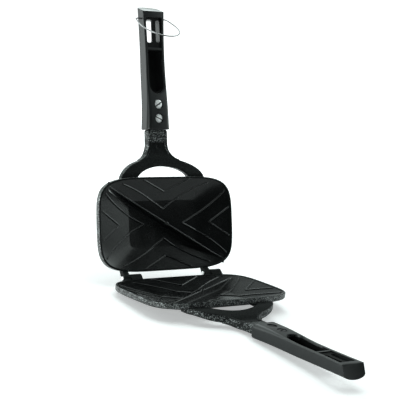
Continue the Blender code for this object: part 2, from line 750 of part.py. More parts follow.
def recess_outline(inset, y_low, y_high, round_end, corner):
    """Half widths along the recess: a rounded end towards the screws and small corners at the other."""
    rows = []
    middle = (y_low + y_high) / 2
    radius = recess_half_width(y_low, inset) if round_end else corner
    for i in range(RECESS_END_STEPS + 1):
        turn = math.pi / 2 * i / RECESS_END_STEPS
        y = y_low + radius * (1 - math.cos(turn))
        rows.append((y, max(recess_half_width(y, inset) - radius + radius * math.sin(turn), RECESS_TIP)))
    rows.append((middle, recess_half_width(middle, inset)))
    for i in range(RECESS_CORNER_STEPS + 1):
        turn = math.pi / 2 * (1 - i / RECESS_CORNER_STEPS)
        y = y_high - corner * (1 - math.cos(turn))
        rows.append((y, recess_half_width(y, inset) - corner + corner * math.sin(turn)))
    return rows


def face_cutter(name, rows, depth, frame, bevel):
    """A cutter that sinks into the handle's face by a depth that follows the face."""
    sections = []
    for y, half in rows:
        face = handle_face(y)
        low = face - depth
        foot = max(half - bevel, RECESS_TIP / 2)
        sections.append([
            Vector((-foot, y, low)),
            Vector((foot, y, low)),
            Vector((half, y, face)),
            Vector((half, y, face + OVERRUN)),
            Vector((-half, y, face + OVERRUN)),
            Vector((-half, y, face)),
        ])
    return loft(name, sections, frame)


def window_cutters(name, frame):
    """The two slots beside the bar, right through, and the space behind the bar."""
    half = handle_half_width(WINDOW_START) - RECESS_FRAME - RECESS_BEVEL
    back = -HANDLE_BACK_DROP_END - OVERRUN
    over_face = handle_face(WINDOW_START) + OVERRUN
    behind_bar = handle_face(WINDOW_END) - RECESS_DEPTH - WINDOW_BAR_DEPTH
    cutters = []
    for label, low_x, high_x, top in (
        ("left", -half, -WINDOW_BAR_WIDTH / 2, over_face),
        ("right", WINDOW_BAR_WIDTH / 2, half, over_face),
        ("rear", -half, half, behind_bar),
    ):
        outline = rounded_rectangle(low_x, high_x, WINDOW_START, WINDOW_END, WINDOW_CORNER)
        rings = [[Vector((x, y, z)) for x, y in outline] for z in (back, top)]
        cutters.append(loft(f"{name}_{label}", rings, frame))
    return cutters


def rounded_rectangle(low_x, high_x, low_y, high_y, radius):
    """A rectangle's outline with round corners."""
    points = []
    for x, y, start in (
        (high_x - radius, high_y - radius, 0.0),
        (low_x + radius, high_y - radius, 0.5),
        (low_x + radius, low_y + radius, 1.0),
        (high_x - radius, low_y + radius, 1.5),
    ):
        for i in range(WINDOW_CORNER_STEPS + 1):
            turn = math.pi * (start + i / WINDOW_CORNER_STEPS / 2)
            points.append((x + radius * math.cos(turn), y + radius * math.sin(turn)))
    return points


def handle(name, frame, finish, with_loop):
    """A moulded handle with its recess, window, tang socket and screw seats."""
    stations = [blend(HANDLE_START + HANDLE_EDGE, HANDLE_END - HANDLE_EDGE, i / HANDLE_STATIONS)
                for i in range(HANDLE_STATIONS)]
    slant = math.tan(HANDLE_END_SLANT)
    sections = [handle_section(HANDLE_START, HANDLE_EDGE)]
    sections += [handle_section(y) for y in stations]
    sections += [handle_section(HANDLE_END - HANDLE_EDGE, 0.0, slant)]
    sections += [handle_section(HANDLE_END, HANDLE_EDGE, slant)]
    body = loft(name, sections, frame, finish)

    lower_end = CROSS_RIB_Y - CROSS_RIB_WIDTH / 2
    upper_start = CROSS_RIB_Y + CROSS_RIB_WIDTH / 2
    whole = recess_outline(0.0, RECESS_START, RECESS_END, True, RECESS_CORNER)
    lower = recess_outline(RECESS_BEVEL / 2, RECESS_START + RECESS_BEVEL, lower_end, True, RECESS_CORNER)
    upper = recess_outline(RECESS_BEVEL / 2, upper_start, RECESS_END - RECESS_BEVEL, False, RECESS_CORNER)
    deep = recess_outline(
        DEEP_MARGIN, RECESS_START + DEEP_MARGIN, lower_end - DEEP_MARGIN / 2, True, RECESS_CORNER
    )
    socket_half = TANG_HALF_WIDTH + CLEARANCE
    cuts = [slab(
        name + "_socket",
        (-socket_half, socket_half),
        (HANDLE_START - OVERLAP, HANDLE_START + TANG_LENGTH + CLEARANCE),
        (-TANG_DROP - TANG_THICKNESS - CLEARANCE, -TANG_DROP + CLEARANCE),
        frame,
    )]
    for number, y in enumerate(SCREW_Y):
        seat = (0, y, -SCREW_SEAT_DROP)
        above = (0, y, -SCREW_SEAT_DROP + OVERRUN)
        below = (0, y, -TANG_DROP - OVERLAP)
        label = f"{name}_screw_{number + 1}"
        cuts.append(rod(label + "_seat", seat, above, SCREW_HEAD_RADIUS + CLEARANCE * 2, frame))
        cuts.append(rod(label + "_hole", below, above, SCREW_SHANK_RADIUS + CLEARANCE, frame))
    cuts += [
        face_cutter(name + "_recess", whole, CROSS_RIB_DROP, frame, RECESS_BEVEL / 3),
        face_cutter(name + "_recess_lower", lower, RECESS_DEPTH, frame, RECESS_BEVEL / 2),
        face_cutter(name + "_recess_upper", upper, RECESS_DEPTH, frame, RECESS_BEVEL / 2),
        face_cutter(name + "_pocket", deep, DEEP_DEPTH, frame, RECESS_BEVEL),
    ]
    cuts += window_cutters(name + "_window", frame)
    if with_loop:
        for side in (-1, 1):
            wall = handle_half_width(LOOP_PIVOT_Y)
            outside = (side * (wall + OVERLAP), LOOP_PIVOT_Y, -LOOP_PIVOT_DROP)
            inside = (side * (wall - LOOP_HOLE_DEPTH), LOOP_PIVOT_Y, -LOOP_PIVOT_DROP)
            cuts.append(rod(f"{name}_loop_hole_{side}", outside, inside, LOOP_HOLE_RADIUS, frame, "X"))
    shape_with(body, "DIFFERENCE", cuts)
    return body


def screw(name, y, turn, frame, finish):
    """A slotted screw through the handle into the tang."""
    seat = -SCREW_SEAT_DROP + CLEARANCE
    rows = (
        (SCREW_SHANK_RADIUS, -SCREW_TIP_DROP),
        (SCREW_SHANK_RADIUS, seat),
        (SCREW_HEAD_RADIUS, seat),
        (SCREW_HEAD_RADIUS, seat + SCREW_HEAD_HEIGHT),
    )
    rim = seat + SCREW_HEAD_HEIGHT
    rows += tuple((SCREW_HEAD_RADIUS * out, rim + SCREW_DOME * up) for out, up in SCREW_DOME_STEPS)
    body = loft(name, [disc(radius, (0, 0, z)) for radius, z in rows], frame, finish)
    body.location = (0, y, 0)
    body.rotation_euler = (0, 0, turn)
    top = seat + SCREW_HEAD_HEIGHT + SCREW_DOME
    slot = slab(
        name + "_slot",
        (-SCREW_HEAD_RADIUS - OVERLAP, SCREW_HEAD_RADIUS + OVERLAP),
        (-SCREW_SLOT_WIDTH / 2, SCREW_SLOT_WIDTH / 2),
        (top - SCREW_SLOT_DEPTH - SCREW_DOME, top + OVERLAP),
        body,
    )
    shape_with(body, "DIFFERENCE", [slot])
    return body


def hinge_pin(name, hinge, frame, finish):
    """A headed pin through a lid lug and the base lug beside it."""
    head_face = hinge + LUG_GAP / 2 + LID_LUG_WIDTH + CLEARANCE
    tail = hinge - LUG_GAP / 2 - BASE_LUG_WIDTH
    rows = (
        (PIN_RADIUS, tail),
        (PIN_RADIUS, head_face),
        (PIN_HEAD_RADIUS, head_face),
        (PIN_HEAD_RADIUS, head_face + PIN_HEAD_HEIGHT * PIN_DOME_SHARE),
        (PIN_HEAD_RADIUS * PIN_DOME_SHARE, head_face + PIN_HEAD_HEIGHT),
    )
    return loft(name, [disc(radius, (x, 0, 0), "X") for radius, x in rows], frame, finish)


def loop_path():
    """Half of the loop's centre line, from the tail in the handle's side to the tip."""
    wall = handle_half_width(LOOP_PIVOT_Y)
    path = [Vector((wall - LOOP_TAIL_SUNK, 0))]
    middle = Vector((LOOP_SHOULDER - LOOP_CORNER, LOOP_CORNER))
    for i in range(LOOP_CORNER_STEPS + 1):
        turn = math.pi / 2 * (i / LOOP_CORNER_STEPS - 1)
        path.append(middle + LOOP_CORNER * Vector((math.cos(turn), math.sin(turn))))
    tip_start = LOOP_REACH - LOOP_TIP_REACH
    for i in range(LOOP_TIP_STEPS // 2 + 1):
        turn = math.pi * i / LOOP_TIP_STEPS
        path.append(Vector((LOOP_HALF_WIDTH * math.cos(turn), tip_start + LOOP_TIP_REACH * math.sin(turn))))
    return path


def hanging_loop(name, frame, finish):
    """The bent wire loop, turning in the holes in the handle's sides."""
    right = loop_path()
    points = right + [Vector((-point.x, point.y)) for point in reversed(right[:-1])]
    curve = bpy.data.curves.new(name, "CURVE")
    curve.dimensions = "3D"
    curve.bevel_depth = LOOP_WIRE / 2
    curve.bevel_resolution = 2
    curve.use_fill_caps = True
    spline = curve.splines.new("POLY")
    spline.points.add(len(points) - 1)
    for target, point in zip(spline.points, points):
        target.co = (point.x, 0, point.y, 1)
    return link(name, curve, frame, finish)


def support_tilt(bodies):
    """The angle by which the base half's handle end rises when it stands on its underside's rear edge."""
    rear = TRAY_MIDDLE - UNDERSIDE_HALF_DEPTH
    points = [point for body in bodies for point in evaluated_points(body, world=False)]
    return max(math.atan2(UNDERSIDE_Z - point.z, point.y - rear) for point in points if point.y > rear)


def evaluated_points(body, world=True):
    """A body's finished points, in the world or in its own frame."""
    finished = body.evaluated_get(bpy.context.evaluated_depsgraph_get())
    mesh = finished.to_mesh()
    place = finished.matrix_world if world else Matrix.Identity(4)
    points = [place @ vertex.co for vertex in mesh.vertices]
    finished.to_mesh_clear()
    return points


def clear_scene():
    """Empties the start-up file."""
    for old in list(bpy.data.objects):
        bpy.data.objects.remove(old, do_unlink=True)


def main():
    clear_scene()
    coating = material("dark_coating", (0.030, 0.032, 0.033), 0.5, 0.0)
    phenolic = material("charcoal_phenolic", (0.045, 0.048, 0.050), 0.45, 0.0)
    steel = material("bright_steel", (0.62, 0.62, 0.62), 0.25, 1.0)

    stand = empty("stand")
    base_frame = empty("base_frame", stand, rotation=(0, 0, math.pi))
    lid_frame = empty("lid_frame", stand, rotation=(math.pi / 2 - LID_LEAN, 0, 0))
    loop_frame = empty(
        "loop_frame",
        lid_frame,
        location=(0, LOOP_PIVOT_Y, -LOOP_PIVOT_DROP),
        rotation=(LOOP_PITCH, 0, 0),
    )

    pieces = []
    for half, frame, hand in (("base", base_frame, -1), ("lid", lid_frame, 1)):
        pieces.append(casting(half + "_tray", frame, hand, coating))
        pieces.append(handle(half + "_handle", frame, phenolic, with_loop=hand > 0))
        for label, y, turn in zip(("inner", "outer"), SCREW_Y, SCREW_TURNS):
            pieces.append(screw(f"{half}_handle_screw_{label}", y, turn, frame, steel))
    for side, hinge in (("left", HINGE_X), ("right", -HINGE_X)):
        pieces.append(hinge_pin("hinge_pin_" + side, hinge, base_frame, steel))
    pieces.append(hanging_loop("hanging_loop", loop_frame, steel))

    bpy.context.view_layer.update()
    tilt = support_tilt(pieces[:2])
    stand.rotation_euler = (-tilt, 0, 0)
    bpy.context.view_layer.update()
    points = [point for piece in pieces for point in evaluated_points(piece)]
    low, high = [[pick(point[k] for point in points) for k in range(3)] for pick in (min, max)]
    stand.location = (-(low[0] + high[0]) / 2, -(low[1] + high[1]) / 2, -low[2])
    bpy.context.view_layer.update()
    print("tilt in degrees", round(math.degrees(tilt), 4))
    print("size", [round(b - a, 5) for a, b in zip(low, high)])
    print("hinge axis at", [round(v, 6) for v in stand.matrix_world.translation])
    print("loop pivot at", [round(v, 6) for v in loop_frame.matrix_world.translation])


main()
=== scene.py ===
import json
import math

import bmesh
import bpy
import numpy as np
from bpy.props import FloatProperty, FloatVectorProperty, IntProperty, PointerProperty
from bpy.types import Operator, Panel, PropertyGroup
from mathutils import Matrix, Vector


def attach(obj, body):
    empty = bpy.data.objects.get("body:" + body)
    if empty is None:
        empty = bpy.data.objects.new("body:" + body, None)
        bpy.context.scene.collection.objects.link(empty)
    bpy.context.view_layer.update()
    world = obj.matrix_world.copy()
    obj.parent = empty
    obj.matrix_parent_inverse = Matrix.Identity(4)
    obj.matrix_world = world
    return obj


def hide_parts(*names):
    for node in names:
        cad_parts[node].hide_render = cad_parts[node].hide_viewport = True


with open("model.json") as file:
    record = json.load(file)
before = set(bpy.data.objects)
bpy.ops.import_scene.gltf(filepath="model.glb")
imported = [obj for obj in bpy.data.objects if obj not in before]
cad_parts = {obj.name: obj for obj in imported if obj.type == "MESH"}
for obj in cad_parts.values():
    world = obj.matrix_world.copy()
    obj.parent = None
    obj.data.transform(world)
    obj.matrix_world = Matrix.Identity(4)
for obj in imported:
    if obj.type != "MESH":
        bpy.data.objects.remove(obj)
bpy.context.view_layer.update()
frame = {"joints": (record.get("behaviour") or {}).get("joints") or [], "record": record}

bl_info = {
    "name": "Stovetop Sandwich Toaster",
    "version": (1, 0, 0),
    "blender": (4, 5, 0),
    "location": "View3D > Sidebar > Toaster",
    "description": "Builds a hinged cast sandwich toaster that stands open, piece by piece",
    "category": "Add Mesh",
}

HINGE = Vector(next(joint["pos_m"] for joint in frame["joints"] if joint["name"] == "lid_hinge"))
HEATING_FACE = next(mount for mount in frame["record"]["mounts"] if mount["name"] == "heating_face")

# The hinge's place in the tilted base half, with X along the hinge and Z out of the base's pocket
STAND = Matrix.Translation(HINGE) @ Matrix.Rotation(math.asin(HEATING_FACE["axis"][1]), 4, "X")

# Each half's side of the hinge: the base half is turned round, so its X runs the other way
HANDS = {"base": -1, "lid": 1}

# The raised chevrons of one quarter, as shares of the tray's half width and half depth
LONG_SIDE_OUTER_SHARES = ((0.0, 0.68), (0.36, 0.955))
LONG_SIDE_INNER_SHARES = ((0.0, 0.31), (0.33, 0.70), (0.66, 0.865))
SHORT_SIDE_OUTER_SHARES = ((0.69, 0.0), (0.975, 0.32))
SHORT_SIDE_INNER_SHARES = ((0.295, 0.0), (0.70, 0.30), (0.92, 0.70))

# Points round a tray, and rows of them down its pocket's walls
RING_POINTS = 288
POCKET_ROWS = 25

# A casting's finishes, numbered: flat faces, upright ones, whose normals rise by less than UPRIGHT, and the pocket
FLAT, ROUGH, LINED = 0, 1, 2
UPRIGHT = 0.55

# From the handle's start back to the collar's edge, and on to the two screws
COLLAR_LENGTH = 0.017
SCREW_SETBACK, SCREW_SPACING = 0.0157, 0.0199

# How high the screws' heads sit, from the parting plane, and the heights of a head's side and dome
SCREW_SEAT = -0.0163
SCREW_SIDE, SCREW_DOME = 0.0017, 0.0008

# The tang that each handle's socket takes up with a clearance, and how high it lies
TANG_HALF_WIDTH, TANG_REACH = 0.010, 0.047
TANG_LOW, TANG_TOP = -0.0265, -0.0195
SOCKET_CLEARANCE = 0.0003

# How far the cutters of a handle stand over its face
CUT_OVER = 0.012

# The loop's pivot, in from the handle's end and down from the parting plane
PIVOT_SETBACK, PIVOT_DROP = 0.0105, 0.0265


# Settings that a user would change

def number(name, default, description, **more):
    return FloatProperty(name=name, default=default, description=description, **more)


def length(name, default, description):
    return number(name, default, description, unit="LENGTH", precision=5)


def angle(name, degrees, description):
    return number(name, math.radians(degrees), description, unit="ROTATION", subtype="ANGLE")


def power(name, default, description):
    return number(name, default, description, unit="POWER")


def colour(name, default, description):
    return FloatVectorProperty(
        name=name, default=default, description=description, subtype="COLOR", size=3, min=0.0, max=1.0
    )


class ToasterTraySettings(PropertyGroup):
    """Sizes of the dished trays, their ribs and their hinge lugs"""

    half_width: length("Half Width", 0.1155, "From the middle of the tray to its short side")
    half_depth: length("Half Depth", 0.0655, "From the middle of the tray to its long side")
    squareness: number("Squareness", 4.9, "Exponent of the tray's outline")
    bow: number("Bow", 0.017, "How much the short sides bow out, as a share of the width")
    setback: length("Hinge Setback", 0.007, "From the hinge axis to the tray's near edge")
    parting_gap: length("Parting Gap", 0.0004, "Gap between the rims when the lid is shut")
    rim_land: length("Rim Land", 0.0026, "Width of the flat rim")
    rim_step: length("Rim Step", 0.0008, "Drop from the rim to the lining")
    skirt: length("Skirt Height", 0.009, "Height of the outer wall")
    skirt_round: length("Skirt Round", 0.0026, "Radius under the outer wall")
    pocket_depth: length("Pocket Depth", 0.0124, "Depth of the sandwich pocket")
    floor_wall: length("Floor Wall", 0.0031, "Thickness of the floor")
    floor_half_width: length("Floor Half Width", 0.057, "Half width of the pocket's flat floor")
    floor_half_depth: length("Floor Half Depth", 0.032, "Half depth of the pocket's flat floor")
    underside_half_width: length("Underside Half Width", 0.078, "Half width of the flat underside")
    underside_half_depth: length("Underside Half Depth", 0.046, "Half depth of the flat underside")
    rib_height: length("Chevron Height", 0.00125, "How far a chevron stands out of the lining")
    rib_width: length("Chevron Width", 0.0026, "Width of a chevron")
    divider_drop: length("Divider Drop", 0.003, "From the rim down to the divider's crest")
    divider_foot: length("Divider Foot", 0.0068, "Width of the divider at the floor")
    divider_end_x: length("Divider End X", 0.102, "Half length of the divider along the hinge")
    divider_end_y: length("Divider End Y", 0.055, "Half length of the divider across the tray")
    post_radius: length("Post Radius", 0.0024, "Radius of the round post in the middle")
    lug_inset: length("Hinge Inset", 0.04475, "From the tray's short side to the middle of a hinge")
    knuckle: length("Knuckle Radius", 0.0048, "Radius of a hinge knuckle")
    lean: angle("Lid Lean", 12.6, "How far the open lid leans back from square to the base tray")


class ToasterBracketSettings(PropertyGroup):
    """Sizes of the arch, the neck and its collar"""

    half_width: length("Arch Half Width", 0.074, "Half width of the arch at the tray")
    reach: length("Arch Reach", 0.0335, "How far the arch stands out")
    setback: length("Arch Setback", 0.006, "From the tray's far edge in to the arch's middle")
    opening_half_width: length("Opening Half Width", 0.0476, "Half width of the finger opening")
    opening_reach: length("Opening Reach", 0.0228, "Reach of the finger opening")
    opening_setback: length("Opening Setback", 0.008, "From the tray's far edge in to the opening's middle")
    top_drop: length("Top Drop", 0.007, "From the parting plane down to the arch")
    thickness: length("Thickness", 0.0083, "Thickness of the arch")
    edge_round: length("Edge Round", 0.0017, "Radius along the cast edges")
    neck_drop: length("Neck Drop", 0.017, "From the parting plane down to the neck")
    neck_thickness: length("Neck Thickness", 0.012, "Thickness of the neck")
    neck_half_width: length("Neck Half Width", 0.0165, "Half width of the neck")
    flare: length("Neck Flare", 0.024, "Radius where the neck runs out into the arch")
    length: length("Bracket Length", 0.067, "From the tray's far edge to the handle")
    web_drop: length("Web Drop", 0.0022, "Depth of the recess between the neck's flanges")
    flange: length("Flange Width", 0.0032, "Width of the neck's flanges")


class ToasterHandleSettings(PropertyGroup):
    """Sizes of the moulded handles and their screws"""

    length: length("Length", 0.1675, "Length of the handle's face")
    neck_half_width: length("Neck Half Width", 0.0202, "Half width beside the collar")
    waist_half_width: length("Waist Half Width", 0.0166, "Half width at the narrowest place")
    end_half_width: length("End Half Width", 0.0186, "Half width at the end")
    neck_drop: length("Neck Drop", 0.013, "From the parting plane down to the face at the screws")
    grip_drop: length("Grip Drop", 0.0184, "From the parting plane down to the face at the grip")
    end_drop: length("End Drop", 0.0198, "From the parting plane down to the face at the end")
    side_depth_neck: length("Neck Side Depth", 0.016, "Depth of the flat sides beside the collar")
    side_depth_end: length("End Side Depth", 0.0124, "Depth of the flat sides at the end")
    back_drop_neck: length("Neck Back Drop", 0.0355, "From the parting plane down to the back at the collar")
    back_drop_end: length("End Back Drop", 0.0386, "From the parting plane down to the back at the end")
    end_slant: angle("End Slant", 22.0, "How far the end leans out towards the back")
    bar_width: length("Bar Width", 0.0062, "Width of the bar in the window")
    bar_depth: length("Bar Depth", 0.0022, "Thickness of the bar in the window")
    frame_width: length("Recess Frame", 0.0036, "Width of the face beside the recess")
    recess_depth: length("Recess Depth", 0.0022, "Depth of the shallow recess")
    pocket_depth: length("Pocket Depth", 0.011, "Depth of the deep pocket")
    screw_radius: length("Screw Radius", 0.0063, "Radius of a screw's head")
    slot_width: length("Slot Width", 0.0019, "Width of a screw's slot")
    slot_depth: length("Slot Depth", 0.0016, "Depth of a screw's slot")


class ToasterLoopSettings(PropertyGroup):
    """Sizes of the wire hanging loop"""

    wire: length("Wire", 0.0018, "Diameter of the wire")
    half_width: length("Half Width", 0.031, "Half width of the loop")
    shoulder: length("Shoulder", 0.0283, "Half width where the wire leaves the handle")
    reach: length("Reach", 0.0515, "From the pivot to the tip")
    tip_reach: length("Tip Reach", 0.0295, "Length of the rounded tip")
    pitch: angle("Pitch", 34.0, "How far the loop leans towards the hinge")
    segments: IntProperty(name="Segments", default=72, min=16, description="Points round the tip")


class ToasterFinishSettings(PropertyGroup):
    """Colours of the finishes"""

    lining: colour("Lining", (0.0030, 0.0034, 0.0036), "Non-stick lining of the pockets")
    coating: colour("Coating", (0.0050, 0.0057, 0.0057), "Speckled coating outside")
    fleck: colour("Fleck", (0.50, 0.52, 0.52), "Light flecks in the coating")
    phenolic: colour("Phenolic", (0.0085, 0.0095, 0.0100), "Moulded handles")
    steel: colour("Steel", (0.78, 0.78, 0.79), "Screws, pins and wire")
    floor: colour("Floor", (0.87, 0.86, 0.87), "Studio floor")


class ToasterStudioSettings(PropertyGroup):
    """The camera and the studio lamps"""

    lens: number("Lens", 135.44, "Focal length", unit="CAMERA")
    azimuth: angle("Azimuth", 39.63, "Where the camera looks, turned from the hinge's square")
    elevation: angle("Elevation", 9.63, "How far the camera looks down on the base tray")
    roll: angle("Roll", 6.34, "How far the camera is turned about its own axis")
    distance: length("Distance", 2.10743, "From the camera to the hinge")
    shift_across: length("Across", -0.04233, "The hinge's place to the right of the picture's middle")
    shift_up: length("Up", -0.10528, "The hinge's place above the picture's middle")
    overhead_power: power("Overhead Power", 20.0, "Power of the lamp above and behind")
    top_power: power("Top Power", 13.0, "Power of the lamp straight above")
    right_power: power("Right Power", 10.5, "Power of the lamp on the right")
    left_power: power("Left Power", 8.5, "Power of the lamp on the left")
    back_power: power("Back Power", 0.40, "Power of the small lamp behind the lid's handle")
    low_power: power("Low Power", 18.0, "Power of the low lamp in front on the left")
    tint: colour("Tint", (0.89, 1.0, 0.975), "Colour of the studio's light")
    back_level: number("Back Level", 0.95, "Brightness of the sweep behind the toaster")
    high_share: number("High Share", 0.30, "How much of the sweep's brightness is left high up")
    front_level: number("Front Level", 0.12, "Brightness of the studio on the camera's side")
    floor_glow: number("Floor Glow", 0.40, "Whiteness that only the camera sees on the floor")


GROUPS = {
    "toaster_tray": ToasterTraySettings,
    "toaster_bracket": ToasterBracketSettings,
    "toaster_handle": ToasterHandleSettings,
    "toaster_loop": ToasterLoopSettings,
    "toaster_finish": ToasterFinishSettings,
    "toaster_studio": ToasterStudioSettings,
}


# Shared measures and places

def blend(a, b, share):
    return a + (b - a) * share


def smooth(share):
    share = np.clip(share, 0.0, 1.0)
    return share * share * (3.0 - 2.0 * share)


def half_place(half):
    """Where a half's own frame lies: X along the hinge, Y to the handle's end, Z out of the cooking side."""
    if half == "base":
        return STAND @ Matrix.Rotation(math.pi, 4, "Z")
    return STAND @ Matrix.Rotation(math.pi / 2 - bpy.context.scene.toaster_tray.lean, 4, "X")


def tray_middle(tray):
    return tray.setback + tray.half_depth


def far_edge(tray):
    return tray.setback + 2 * tray.half_depth


def handle_start(tray, bracket):
    return far_edge(tray) + bracket.length


def bowed(tray, along):
    """How much wider the tray is than its superellipse, at a share of its half depth."""
    return 1 + tray.bow * (1 - along**2)


def superellipse(tray, half_x, half_y, exponent):
    """Points round a superellipse with bowed short sides, drawn towards its corners."""
    turn = 2 * np.pi * np.arange(RING_POINTS) / RING_POINTS
    turn = turn + np.sin(4 * turn) / 8
    across, along = np.cos(turn), np.sin(turn)
    scale = (np.abs(across) ** exponent + np.abs(along) ** exponent) ** (-1 / exponent)
    across, along = scale * across, scale * along
    return np.column_stack([half_x * bowed(tray, along) * across, tray_middle(tray) + half_y * along])


def pocket_shape(tray, share):
    """Half width, half depth and exponent of the pocket at a share of the way up its walls."""
    floor_exponent = 12.0
    return (
        blend(tray.floor_half_width, tray.half_width - tray.rim_land, share),
        blend(tray.floor_half_depth, tray.half_depth - tray.rim_land, share),
        blend(floor_exponent, tray.squareness, share),
    )


def pocket_height(tray, x, y):
    """Height of the lining over a place measured from the tray's middle, by halving the wall it lies on."""
    x, y = np.abs(np.asarray(x, float)), np.abs(np.asarray(y, float))
    floor = -tray.pocket_depth
    top = -tray.parting_gap / 2 - tray.rim_step
    low, high = np.zeros_like(x), np.ones_like(x)
    halvings = 26

    def inside(share):
        a, b, exponent = pocket_shape(tray, share)
        along = np.minimum(y / b, 1.0)
        return (x / a / bowed(tray, along)) ** exponent + (y / b) ** exponent <= 1

    on_floor = inside(np.zeros_like(x))
    for _ in range(halvings):
        middle = (low + high) / 2
        within = inside(middle)
        high = np.where(within, middle, high)
        low = np.where(within, low, middle)
    return np.where(on_floor, floor, blend(floor, top, high))


def distances(path):
    """How far along a path each of its points lies."""
    return np.concatenate([[0], np.cumsum(np.linalg.norm(np.diff(path, axis=0), axis=1))])


def section_of(spots, top, low):
    """A ring of points, out along the top of some spots and back along their bottom."""
    return [(x, y, z) for (x, y), z in zip(spots, top)] + [(x, y, z) for (x, y), z in zip(spots[::-1], low[::-1])]


def quarter(count):
    """Angles from 0 to a right angle."""
    return np.linspace(0, np.pi / 2, count)


# Meshes

def add_object(name, mesh):
    made = bpy.data.objects.new(name, mesh)
    bpy.context.scene.collection.objects.link(made)
    return made


def lofted(name, rows):
    """A closed skin through rows of equally many points, each row a ring."""
    rows = np.asarray(rows, float)
    count, width = rows.shape[:2]
    faces = []
    for row in range(0, (count - 1) * width, width):
        for here in range(width):
            beside = (here + 1) % width
            faces.append((row + here, row + beside, row + width + beside, row + width + here))
    faces.append(tuple(range(width))[::-1])
    faces.append(tuple(range((count - 1) * width, count * width)))
    mesh = bpy.data.meshes.new(name)
    mesh.from_pydata([tuple(point) for point in rows.reshape(-1, 3)], [], faces)
    mesh.validate()
    return add_object(name, mesh)


def face_outwards(mesh):
    """Merges doubled points and turns every face outwards."""
    shape = bmesh.new()
    shape.from_mesh(mesh)
    bmesh.ops.remove_doubles(shape, verts=shape.verts, dist=1e-6)
    bmesh.ops.recalc_face_normals(shape, faces=shape.faces)
    shape.to_mesh(mesh)
    shape.free()


def apply_modifiers(made):
    """Turns the finished shape into a plain mesh and drops the modifiers."""
    graph = bpy.context.evaluated_depsgraph_get()
    mesh = bpy.data.meshes.new_from_object(made.evaluated_get(graph), depsgraph=graph)
    made.modifiers.clear()
    old = made.data
    made.data = mesh
    if old.users == 0:
        bpy.data.meshes.remove(old)


def cut_away(made, tools):
    """Cuts tools from an object and removes them."""
    for tool in tools:
        step = made.modifiers.new(tool.name, "BOOLEAN")
        step.operation = "DIFFERENCE"
        step.solver = "EXACT"
        step.object = tool
    apply_modifiers(made)
    for tool in tools:
        bpy.data.objects.remove(tool)


def soften_edges(made, width, segments, limit):
    """Rounds the sharp edges a little, with the flat faces beside them kept flat."""
    made.data.shade_smooth()
    step = made.modifiers.new("Edge Round", "BEVEL")
    step.width = width
    step.segments = segments
    step.limit_method = "ANGLE"
    step.angle_limit = math.radians(limit)
    step.harden_normals = True
    step.use_clamp_overlap = True
    apply_modifiers(made)


def mark_sides(mesh):
    """Gives the upright walls of a casting their own, rougher finish."""
    shape = bmesh.new()
    shape.from_mesh(mesh)
    for face in shape.faces:
        face.normal_update()
        if face.material_index == FLAT and abs(face.normal.z) < UPRIGHT:
            face.material_index = ROUGH
    shape.to_mesh(mesh)
    shape.free()


def settle(made, half, body, nodes, materials, crease, outward=True):
    """Puts a finished piece in its place, gives it its finish and ties it to its body."""
    mesh = made.data
    if outward:
        face_outwards(mesh)
    mesh.transform(half_place(half))
    mesh.update()
    if crease:
        mesh.shade_smooth()
        mesh.set_sharp_from_angle(angle=math.radians(crease))
    if not mesh.materials:
        for each in materials:
            mesh.materials.append(each)
    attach(made, body)
    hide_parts(*nodes)


def block(name, x_range, y_range, z_range):
    """A plain box between pairs of numbers."""
    (left, right), (near, far) = x_range, y_range
    return lofted(name, [[(left, near, z), (right, near, z), (right, far, z), (left, far, z)] for z in z_range])


def turned(name, profile, centre, sides=48):
    """A round body from radius and height pairs, standing on the half's Z axis."""
    turns = 2 * np.pi * np.arange(sides) / sides
    return lofted(name, [
        np.column_stack([centre[0] + r * np.cos(turns), centre[1] + r * np.sin(turns), np.full(sides, z)])
        for r, z in profile
    ])


# Geometry node trees

def new_tree(name, inputs):
    tree = bpy.data.node_groups.new(name, "GeometryNodeTree")
    tree.is_modifier = True
    tree.interface.new_socket("Geometry", in_out="INPUT", socket_type="NodeSocketGeometry")
    for label, kind in inputs:
        tree.interface.new_socket(label, in_out="INPUT", socket_type=kind)
    tree.interface.new_socket("Geometry", in_out="OUTPUT", socket_type="NodeSocketGeometry")
    return tree


def link_all(tree, links):
    """Joins sockets, from rows of a node, its output, the next node and its input."""
    for source, output, target, entry in links:
        tree.links.new(source.outputs[output], target.inputs[entry])


def end_tree(tree, start, last, output):
    """Ends a tree in real geometry that has its finish."""
    real = tree.nodes.new("GeometryNodeRealizeInstances")
    finish = tree.nodes.new("GeometryNodeSetMaterial")
    link_all(tree, (
        (last, output, real, "Geometry"),
        (real, "Geometry", finish, "Geometry"),
        (start, "Finish", finish, "Material"),
        (finish, "Geometry", tree.nodes.new("NodeGroupOutput"), "Geometry"),
    ))
    return tree


def run_tree(made, tree, values):
    """Runs a tree on an object with its inputs set by identifier, and keeps the plain mesh."""
    step = made.modifiers.new(tree.name, "NODES")
    step.node_group = tree
    for socket in tree.interface.items_tree:
        if socket.item_type == "SOCKET" and socket.in_out == "INPUT" and socket.name in values:
            step[socket.identifier] = values[socket.name]
    made.update_tag()
    bpy.context.view_layer.update()
    apply_modifiers(made)


